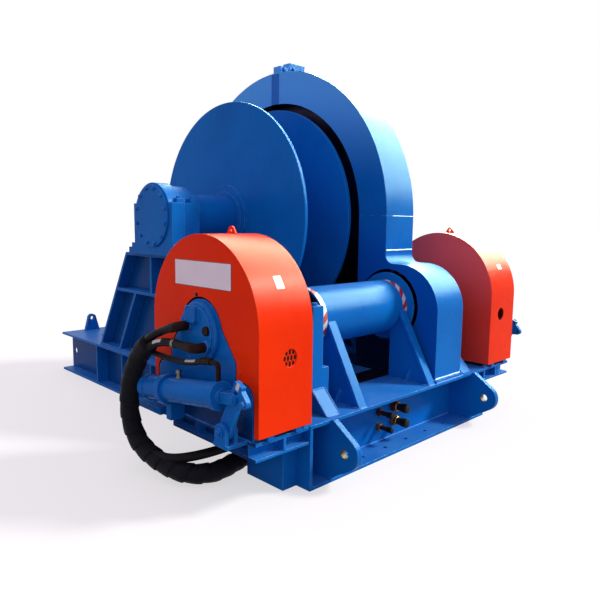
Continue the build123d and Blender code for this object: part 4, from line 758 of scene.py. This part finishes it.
def blank_plate(name, width, height, corner, thickness, lay, material, body="skid"):
    """A thin plate with round corners, as rings from its back to its front. Each ring is the outline set in
    by an inset: corner centres stay while their radius shrinks. Lay puts (x, y, height) in place, and the
    map gives the distance in from the edge."""
    middle = 0.5 * min(width, height)
    insets = np.array((middle, 0.0, 0.0, 0.0006, 0.003, 0.006, middle))
    levels = np.array((0.0, 0.0, thickness - 0.0006, thickness, thickness, thickness, thickness))
    angle = (np.linspace(0.0, 0.5 * np.pi, 6)[None] + 0.5 * np.pi * np.arange(4)[:, None]).reshape(-1)
    bend = np.maximum(corner - insets, 0.0)[:, None]
    half_x = (0.5 * width - insets)[:, None] - bend
    half_y = (0.5 * height - insets)[:, None] - bend
    x = half_x * np.repeat((1.0, -1.0, -1.0, 1.0), 6) + bend * np.cos(angle)
    y = half_y * np.repeat((1.0, 1.0, -1.0, -1.0), 6) + bend * np.sin(angle)
    points = lay(x, y, np.repeat(levels[:, None], 24, axis=1))
    mesh_piece(name, points, grid_quads(7, 24), material, body, length_map(7, 24, insets, width))


def flat_lay(centre, right, up):
    """Lays a plate flat: centre + x * right + y * up + height * (right x up)."""
    right = np.array(right)
    up = np.array(up)
    return lambda x, y, height: (np.array(centre) + x[..., None] * right + y[..., None] * up
                                 + height[..., None] * np.cross(right, up))


def hood_lay(centre_x, angle):
    """Lays a plate round a hood's front: x along the hood, and y up its arc from an angle over level."""
    def lay(x, y, height):
        """Radius hood_radius + height at the angle turned by y / hood_radius."""
        turn = np.radians(angle) + y / hood_radius
        reach = hood_radius + height
        return np.stack([centre_x + x, pinion_y - reach * np.cos(turn), hood_arc_z + reach * np.sin(turn)],
                        axis=-1)
    return lay


def plate_finish(name, colour, stain, border):
    """White plate or film, a little stained, with a thin dark line round its edge."""
    material, tree, shader = new_finish(name)
    inset = xyz(tree, put(tree, "ShaderNodeUVMap", uv_map=own_map).outputs[0])["X"]
    line = reckoned(tree, "COMPARE", inset, 0.0015, 0.0018)
    tone = mottled(tree, 11.0, colour, stain, 4.0)
    fill(shader, {"Base Color": blended(tree, line, tone, border),
                  "Roughness": uneven_sheen(tree, 25.0, 0.35, 0.55)})
    return material


white_plate = plate_finish("white_plate", (0.90, 0.86, 0.90), (0.80, 0.75, 0.80), (0.10, 0.09, 0.11))
white_film = plate_finish("white_film", (0.66, 0.71, 0.74), (0.56, 0.61, 0.65), (0.48, 0.50, 0.53))
plate_middle = np.array((hood_face, -1.2733, 1.2445))
plate_width = 0.539
plate_height = 0.148
rivet_y = 0.5 * plate_width - 0.013
rivet_z = 0.5 * plate_height - 0.013
blank_plate("hood_plate", plate_width, plate_height, 0.006, 0.002,
            flat_lay(plate_middle, (0.0, -1.0, 0.0), upwards), white_plate)
rivet_head = turned(((0.0, 0.0), (0.0, 0.0050), (0.0010, 0.0050), (0.0022, 0.0038), (0.0028, 0.0)), 12)
copies("hood_plate_rivets", rivet_head,
       [plate_middle + (-0.002, y, z) for y in (-rivet_y, rivet_y) for z in (-rivet_z, rivet_z)],
       outwards, ground_steel, "skid")
tag_corner = 0.003
tag_thickness = 0.0012
blank_plate("left_hood_tag", 0.055, 0.077, tag_corner, tag_thickness, hood_lay(-1.2085, 30.6), white_film)
blank_plate("right_hood_tag", 0.060, 0.045, tag_corner, tag_thickness, hood_lay(1.2275, 27.8), white_film)
facing_front = (0.0, -1.0, 0.0)
vent_middle = np.array((-1.185, -1.7624, 0.818))
vent_radius = 0.0498
vent_plate = turned(((0.0, 0.0), (0.0, vent_radius), (0.0006, vent_radius), (0.0006, 0.0)), 64)
copies("vent_plate", vent_plate, [vent_middle], facing_front, orange_enamel, "skid")
# Painted shade: the vent's slots are dark plates on the vent plate, standing in for the shade inside the
# hood.
vent_slot_shade, slot_shade_tree, slot_shade_shader = new_finish("vent_slot_shade")
fill(slot_shade_shader, {"Base Color": mottled(slot_shade_tree, 90.0, (0.010, 0.003, 0.002), (0.030, 0.005, 0.003)),
                    "Roughness": 0.9, "Specular IOR Level": 0.05})
slot_width = 0.0165
vent_slots = [(-0.0246, 0.028, 0.024), (0.0, 0.032, 0.030), (0.0246, 0.028, 0.024), (-0.0369, 0.0, 0.028),
              (-0.0123, 0.0, 0.031), (0.0123, 0.0, 0.031), (0.0369, 0.0, 0.028), (-0.0246, -0.028, 0.024),
              (0.0, -0.032, 0.030), (0.0246, -0.028, 0.024)]
for number, (x, z, height) in enumerate(vent_slots, 1):
    blank_plate(f"vent_slot_{number}", slot_width, height, 0.0082, 0.0013,
                flat_lay(vent_middle + (x, 0.0, z), (1.0, 0.0, 0.0), upwards), vent_slot_shade)
paired("hood_screws", hex_head(0.014), [(hood_face, -1.617, 0.7432)], outwards, orange_enamel)
paired("motor_plate_screws", hex_head(0.018), [(hood_face, -1.2190, 1.1260)], outwards, greased_steel)
paired("hood_foot_studs", hex_head(0.030), [(-1.050, -1.722, deck_top)], upwards, seam_glint_enamel)

# Brake levers and cylinders: plate levers on brackets, pushed by hydraulic cylinders that lie in
# saddles on the wings. Rods are ground bright, and their forks are painted over.
gland_face = np.array((-1.5, -1.58134, 0.63039))
rod_way = np.array((0.0, -0.990268, 0.139173))
rod_square = np.array((0.0, 0.139173, 0.990268))
bleed_place = gland_face - 0.3981 * rod_way + 0.0720 * rod_square
lever_reach = 1.515
lever_pivot = np.array((0.0, -1.61744, 0.452))
lever_along = np.array((0.0, -0.40514, 0.91425))
lever_across = np.array((0.0, -0.91425, -0.40514))
fork_pin = np.array((0.0, -1.70414, 0.64765))
coat(blue_enamel, "left_brake_lever", "right_brake_lever", "lever_brackets", "left_brake_cylinder",
     "right_brake_cylinder", "cylinder_saddles")
rod_enamel, rod_tree, rod_shader = blue_coat("rod_enamel", 0.003)
rod_reach = put(rod_tree, "ShaderNodeVectorMath",
                {0: from_point(rod_tree, tuple(gland_face)), 1: tuple(rod_way)}, operation="DOT_PRODUCT")
rod_bare = spread(rod_tree, rod_reach.outputs["Value"], 0.0262, 0.0268, 1.0, 0.0)
laid_bare(rod_shader, rod_bare, (0.66, 0.67, 0.69), roughness=0.16)
coat(rod_enamel, "left_brake_rod", "right_brake_rod")
gland_ring = turned(((0.0, 0.0242), (0.0, 0.0360), (0.0040, 0.0360), (0.0065, 0.0335), (0.0065, 0.0242)), 48)
paired("gland_rings", gland_ring, [gland_face], rod_way, ground_steel)
pivot_nut = turned(((0.0, 0.0), (0.0, 0.027), (0.007, 0.027), (0.009, 0.025), (0.009, 0.0155),
                    (0.019, 0.0155), (0.021, 0.0135), (0.021, 0.0)), 32)
paired("lever_pivot_ends", pivot_nut, [lever_pivot + (-1.540, 0.0, 0.0)], outwards, blue_enamel)
pin_head = turned(((0.0, 0.0), (0.0, 0.018), (0.005, 0.018), (0.0065, 0.0165), (0.0065, 0.0)), 32)
bleed_shape = turned(((0.0, 0.0), (0.0, 0.017), (0.013, 0.017), (0.015, 0.012), (0.026, 0.012),
                      (0.028, 0.0155), (0.045, 0.0155), (0.049, 0.012), (0.049, 0.0)), 24)
zinc_fitting = bare_metal("zinc_fitting", (0.20, 0.21, 0.19), (0.10, 0.10, 0.09), 0.35, 0.55,
                          (300.0, 300.0, 40.0), 0.0001)
paired("cylinder_bleeds", bleed_shape, [bleed_place], rod_square, zinc_fitting)
for hand, side in (("left", -1.0), ("right", 1.0)):
    lever_foot = lever_pivot + (side * lever_reach, 0.0, 0.0)
    copies(hand + "_fork_pin", pin_head, [fork_pin + (side * x, 0.0, 0.0) for x in (1.531, 1.469)],
           [(side, 0.0, 0.0), (-side, 0.0, 0.0)], blue_enamel, hand + "_rod")
    copies(hand + "_lever_bolt", hex_head(0.030), [lever_foot + 0.232 * lever_along + 0.073 * lever_across],
           (side, 0.0, 0.0), blue_enamel, hand + "_lever")
    blank_plate(hand + "_lever_tag", 0.026, 0.042, tag_corner, tag_thickness,
                flat_lay(lever_foot + 0.288 * lever_along, -side * lever_across, lever_along),
                white_film, hand + "_lever")

# Motor elbows and brake ports: steel elbows bound in brown grease tape against the sea. Those of
# the right-hand motor are shut with black caps.
dull_specular = 0.08
bound_tape, bound_shader = clouded("brown_grease_tape", (0.024, 0.008, 0.0065), (0.010, 0.004, 0.004),
                                   gloss=0.42, dull=0.65)[:2]
bound_tree = bound_shader.id_data
bound_place = put(bound_tree, "ShaderNodeTexCoord").outputs["Object"]
bound_turns = put(bound_tree, "ShaderNodeTexWave",
                  {"Vector": bound_place, "Scale": 14.0, "Distortion": 2.5, "Detail": 1.0},
                  wave_type="BANDS", bands_direction="DIAGONAL").outputs[0]
stained(bound_shader, spread(bound_tree, bound_turns, 0.0, 0.35, 0.6, 0.0), (0.005, 0.003, 0.003))
fill(bound_shader, {"Specular IOR Level": dull_specular})
relief(bound_shader, bound_turns, depth=0.0012)
coat(bound_tape, "motor_elbows", "brake_ports")
black_cap, black_shader, black_surface = clouded("black_cap", (0.016, 0.015, 0.016), (0.008, 0.008, 0.009),
                                                 gloss=0.35, dull=0.55)
fill(black_shader, {"Specular IOR Level": dull_specular})
relief(black_shader, black_surface["Height"], depth=0.0003)


def ribbed_cap(radius, length, lip):
    """A push-on cap: a lathe shape open at its foot, whose wall is cut back by a twentieth at every second
    point to make the ribs."""
    shape = turned(((0.0, radius), (0.0, radius + lip), (length, radius + lip), (length + lip, radius - lip),
                    (length + lip, 0.0)), 48)
    shape[1:3, ::2, :2] *= 0.955
    return shape


copies("elbow_caps", ribbed_cap(0.0282, 0.034, 0.0035), [(1.517, -1.1424, 0.9365), (1.517, -1.3044, 0.8485)],
       [(0.0, 0.966, -0.259), (0.0, 1.0, 0.0)], black_cap, "skid")
copies("port_cap", ribbed_cap(0.0142, 0.022, 0.0025), [(1.500, -1.5046, 0.7972)], (0.0, 1.0, 0.0),
       black_cap, "skid")

# Bulkhead couplings: screwed couplings through the front web. Nuts are rusty or yellow zinc, bodies
# are black, and ribbed black caps keep the mouths clean.
coupling_mouth = -1.646
coupling_collar = -1.598
large_couplings = ((0.033, 0.246), (0.033, 0.141))
small_couplings = ((-0.138, 0.234), (-0.138, 0.130))
coupling_finish, coupling_tree, coupling_shader = new_finish("coupling_steel")
coupling_parts = place_parts(coupling_tree)
coupling_nut = spread(coupling_tree, coupling_parts["Y"], -1.590, -1.5885)
coupling_low = spread(coupling_tree, coupling_parts["Z"], 0.185, 0.190, 1.0, 0.0)
coupling_zinc = mottled(coupling_tree, 60.0, (0.30, 0.17, 0.045), (0.17, 0.045, 0.025))
coupling_rust = mottled(coupling_tree, 45.0, (0.15, 0.022, 0.014), (0.07, 0.012, 0.010))
coupling_black = mottled(coupling_tree, 50.0, (0.013, 0.012, 0.013), (0.035, 0.022, 0.018))
coupling_tone = blended(coupling_tree, coupling_low, coupling_rust, coupling_zinc)
fill(coupling_shader, {"Base Color": blended(coupling_tree, coupling_nut, coupling_black, coupling_tone),
                       "Roughness": uneven_sheen(coupling_tree, 40.0, 0.30, 0.55), "Metallic": 0.4})
relief(coupling_shader, noise_at(coupling_tree, 1.0, 2.0, (80.0, 700.0, 80.0)), depth=0.0003)
coat(coupling_finish, "bulkhead_couplings")
for name, cap, couplings in (("large_coupling_caps", ribbed_cap(0.0265, 0.042, 0.0045), large_couplings),
                             ("small_coupling_caps", ribbed_cap(0.0168, 0.040, 0.0035), small_couplings)):
    copies(name, cap, [(x, coupling_mouth, z) for x, z in couplings], facing_front, black_cap, "skid")
collar_brass = bare_metal("collar_brass", (0.48, 0.33, 0.12), (0.22, 0.10, 0.05), 0.25, 0.45,
                          (40.0, 600.0, 40.0), 0.0001)
collar_shape = turned(((0.0, 0.0265), (0.0, 0.0335), (0.010, 0.0335), (0.012, 0.0315), (0.012, 0.0265)), 32)
copies("coupling_collars", collar_shape, [(x, coupling_collar, z) for x, z in large_couplings], facing_front,
       collar_brass, "skid")

# Hoses: rubber hydraulic hoses, gathered into one bundle by a spiral wrap of black nylon. The
# bundle hangs in a loop beside the left platform and goes back in under it, through rubber rings.


def hose_line(name, route):
    """Points along the smooth NURBS line that has the route's points as its control points."""
    curve = bpy.data.curves.new(name, "CURVE")
    curve.dimensions = "3D"
    spline = curve.splines.new("NURBS")
    spline.points.add(len(route) - 1)
    for point, place in zip(spline.points, route):
        point.co = (*place, 1.0)
    spline.order_u = 3
    spline.use_endpoint_u = True
    spline.resolution_u = 24
    holder = bpy.data.objects.new(name, curve)
    line = bpy.data.meshes.new_from_object(holder)
    places = np.empty(len(line.vertices) * 3)
    line.vertices.foreach_get("co", places)
    bpy.data.objects.remove(holder)
    bpy.data.meshes.remove(line)
    bpy.data.curves.remove(curve)
    return places.reshape(-1, 3)


def hose(name, node, route, diameter, material, step, around, wrap_pitch=0.0, wrap_step=0.0):
    """A hose along a route: a tube with rounded ends. A wrapped one has the overlaps of a spiral band:
    its radius falls by wrap_step over each pitch of the spiral, and jumps back at the next turn."""
    places, along = even_line(hose_line(name, route), step)
    angle = np.linspace(0.0, 1.0, around, endpoint=False)
    radius = np.full((len(places), around), diameter / 2.0)
    if wrap_pitch:
        turn = (along[:, None] / wrap_pitch + angle[None, :]) % 1.0
        radius -= wrap_step * np.clip(turn * 1.25 - 0.25, 0.0, 1.0)
    from_end = np.minimum(along, along[-1] - along)[:, None]
    lip = diameter * 0.12
    radius -= lip - np.sqrt(np.maximum(lip ** 2 - np.maximum(lip - from_end, 0.0) ** 2, 0.0))
    rings = tube_rings(places, radius, around)
    closed = np.concatenate([np.repeat(places[:1, None], around, axis=1), rings,
                             np.repeat(places[-1:, None], around, axis=1)])
    reach = np.concatenate((along[:1], along, along[-1:]))
    piece = mesh_piece(name, closed, grid_quads(len(closed), around), material, "skid",
                       length_map(len(closed), around, reach, np.pi * diameter))
    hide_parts(node)
    return piece, places, along


def hose_band(name, line, start, end, inner, outer, material, lean=(0.6, 0.6, 0.55), reach=4.0):
    """A band on a hose between two distances along it: rings of the outer radius, closed down to the inner
    radius, which lies just inside the hose, at both ends. A reach below half a turn, in radians each way
    from the lean direction, makes a label on one side, as the rest of the ring stays inside the hose."""
    stations = np.linspace(start, end, 12)
    places = np.stack([np.interp(stations, line[2], line[1][:, axis]) for axis in range(3)], axis=1)
    within = tube_rings(places, np.full((12, 32), inner), 32, lean)
    angle = np.linspace(0.0, 2.0 * np.pi, 32, endpoint=False)
    radius = np.where(np.minimum(angle, 2.0 * np.pi - angle) <= reach, outer, inner)
    rings = tube_rings(places, np.repeat(radius[None], 12, axis=0), 32, lean)
    closed = np.concatenate([within[:1], rings, within[-1:]])
    return mesh_piece(name, closed, grid_quads(14, 32), material, "skid")


def black_finish(name, colour, gloss, grain, depth):
    """Black rubber or nylon: grain round and along the hose on its own map, with pale dust in it."""
    material, tree, shader = new_finish(name)
    place = put(tree, "ShaderNodeUVMap", uv_map=own_map).outputs[0]
    weave = put(tree, "ShaderNodeTexWave", {"Vector": place, "Scale": grain, "Distortion": 1.2},
                wave_type="BANDS", bands_direction="X")
    dusty = placed(tree, dust_tree, Amount=0.12)
    cloud = noise_at(tree, 22.0, 4.0)
    tone = blended(tree, cloud, colour, tuple(1.6 * value for value in colour))
    fill(shader, {"Base Color": blended(tree, dusty["Mask"], tone, (0.03, 0.03, 0.034)),
                  "Roughness": spread(tree, cloud, 0.2, 0.8, gloss, gloss + 0.2),
                  "Specular IOR Level": dull_specular})
    relief(shader, weave.outputs[0], depth)
    return material


wrap_nylon = black_finish("wrap_nylon", (0.005, 0.005, 0.008), 0.46, 180.0, 0.0004)
hose_rubber = black_finish("hose_rubber", (0.006, 0.0055, 0.0065), 0.36, 90.0, 0.0002)
bundle_route = [
    (-0.794, -1.2436, 0.096), (-0.894, -1.2436, 0.096), (-0.995, -1.2346, 0.085), (-1.100, -1.2406, 0.073),
    (-1.190, -1.2596, 0.068), (-1.270, -1.2796, 0.068), (-1.335, -1.2846, 0.069), (-1.397, -1.2696, 0.072),
    (-1.452, -1.2346, 0.076), (-1.492, -1.1846, 0.082), (-1.515, -1.1236, 0.090), (-1.536, -1.0336, 0.106),
    (-1.552, -0.9436, 0.129), (-1.563, -0.8586, 0.162), (-1.570, -0.7916, 0.212), (-1.573, -0.7436, 0.288),
    (-1.573, -0.7196, 0.381), (-1.571, -0.7226, 0.484), (-1.566, -0.7516, 0.588), (-1.560, -0.7996, 0.682),
    (-1.555, -0.8658, 0.7675), (-1.555, -0.9436, 0.822)]
tail_route = [
    (-0.794, -1.2616, 0.199), (-0.887, -1.2616, 0.199), (-0.980, -1.2556, 0.197), (-1.075, -1.2576, 0.194),
    (-1.168, -1.2656, 0.190), (-1.262, -1.2596, 0.184), (-1.350, -1.2436, 0.178), (-1.422, -1.2136, 0.170),
    (-1.480, -1.1696, 0.160), (-1.522, -1.1086, 0.150), (-1.546, -1.0286, 0.144), (-1.558, -0.9436, 0.152)]
upper_route = [
    (-1.517, -1.1231, 0.9313), (-1.517, -1.0796, 0.9197), (-1.527, -1.0296, 0.898), (-1.549, -0.9786, 0.872),
    (-1.567, -0.8625, 0.7982)]
lower_route = [
    (-1.517, -1.2844, 0.8485), (-1.517, -1.2244, 0.8485), (-1.523, -1.1486, 0.851), (-1.537, -1.0686, 0.846),
    (-1.556, -1.0016, 0.826), (-1.567, -0.9427, 0.7884)]
brake_route = [
    (-1.500, -1.4916, 0.7972), (-1.500, -1.4366, 0.7972), (-1.502, -1.3436, 0.768), (-1.507, -1.2336, 0.752),
    (-1.514, -1.1236, 0.750), (-1.522, -1.0186, 0.756), (-1.531, -0.9136, 0.762), (-1.547, -0.8336, 0.735)]
bundle_width = 0.120
tail_width = 0.056
motor_hose = 0.048
brake_hose = 0.034
bundle_line = hose("wrapped_bundle", "hose_bundle", bundle_route, bundle_width, wrap_nylon, 0.004, 48,
                   wrap_pitch=0.095, wrap_step=0.0060)
tail_line = hose("return_hose", "tail_hose", tail_route, tail_width, hose_rubber, 0.006, 32)
upper_line = hose("upper_motor_hose", "motor_hose_upper", upper_route, motor_hose, hose_rubber, 0.005, 32)
lower_line = hose("lower_motor_hose", "motor_hose_lower", lower_route, motor_hose, hose_rubber, 0.005, 32)
brake_line = hose("brake_pressure_hose", "brake_hose", brake_route, brake_hose, hose_rubber, 0.004, 24)
in_motor_hose = 0.0235
in_brake_hose = 0.0165
# Labels on the hoses, drawn only on their upper side, where they also stand in for a painted highlight.
mark_lean = (-0.6, -0.5, 0.62)
mark_reach = 0.45
lower_mark = hose_band("lower_hose_mark", lower_line, 0.212, 0.278, in_motor_hose, 0.0246, white_film,
                       mark_lean, mark_reach)
lower_clamp = hose_band("lower_hose_clamp", lower_line, 0.108, 0.128, in_motor_hose, 0.0262, zinc_fitting)
brake_mark = hose_band("brake_hose_mark", brake_line, 0.132, 0.228, in_brake_hose, 0.0176, white_film,
                       mark_lean, mark_reach)
brake_ferrule = hose_band("brake_hose_ferrule", brake_line, 0.004, 0.090, in_brake_hose, 0.0195, bound_tape)
web_ring = np.array(((0.0, 1.00), (0.0, 1.24), (0.010, 1.24), (0.016, 1.14), (0.016, 1.00)))
bundle_ring = copies("bundle_web_ring", turned(web_ring * (1.0, 0.5 * bundle_width), 48), bundle_route[:1],
                     outwards, black_cap, "skid")
tail_ring = copies("tail_web_ring", turned(web_ring * (1.0, 0.5 * tail_width), 48), tail_route[:1],
                   outwards, black_cap, "skid")
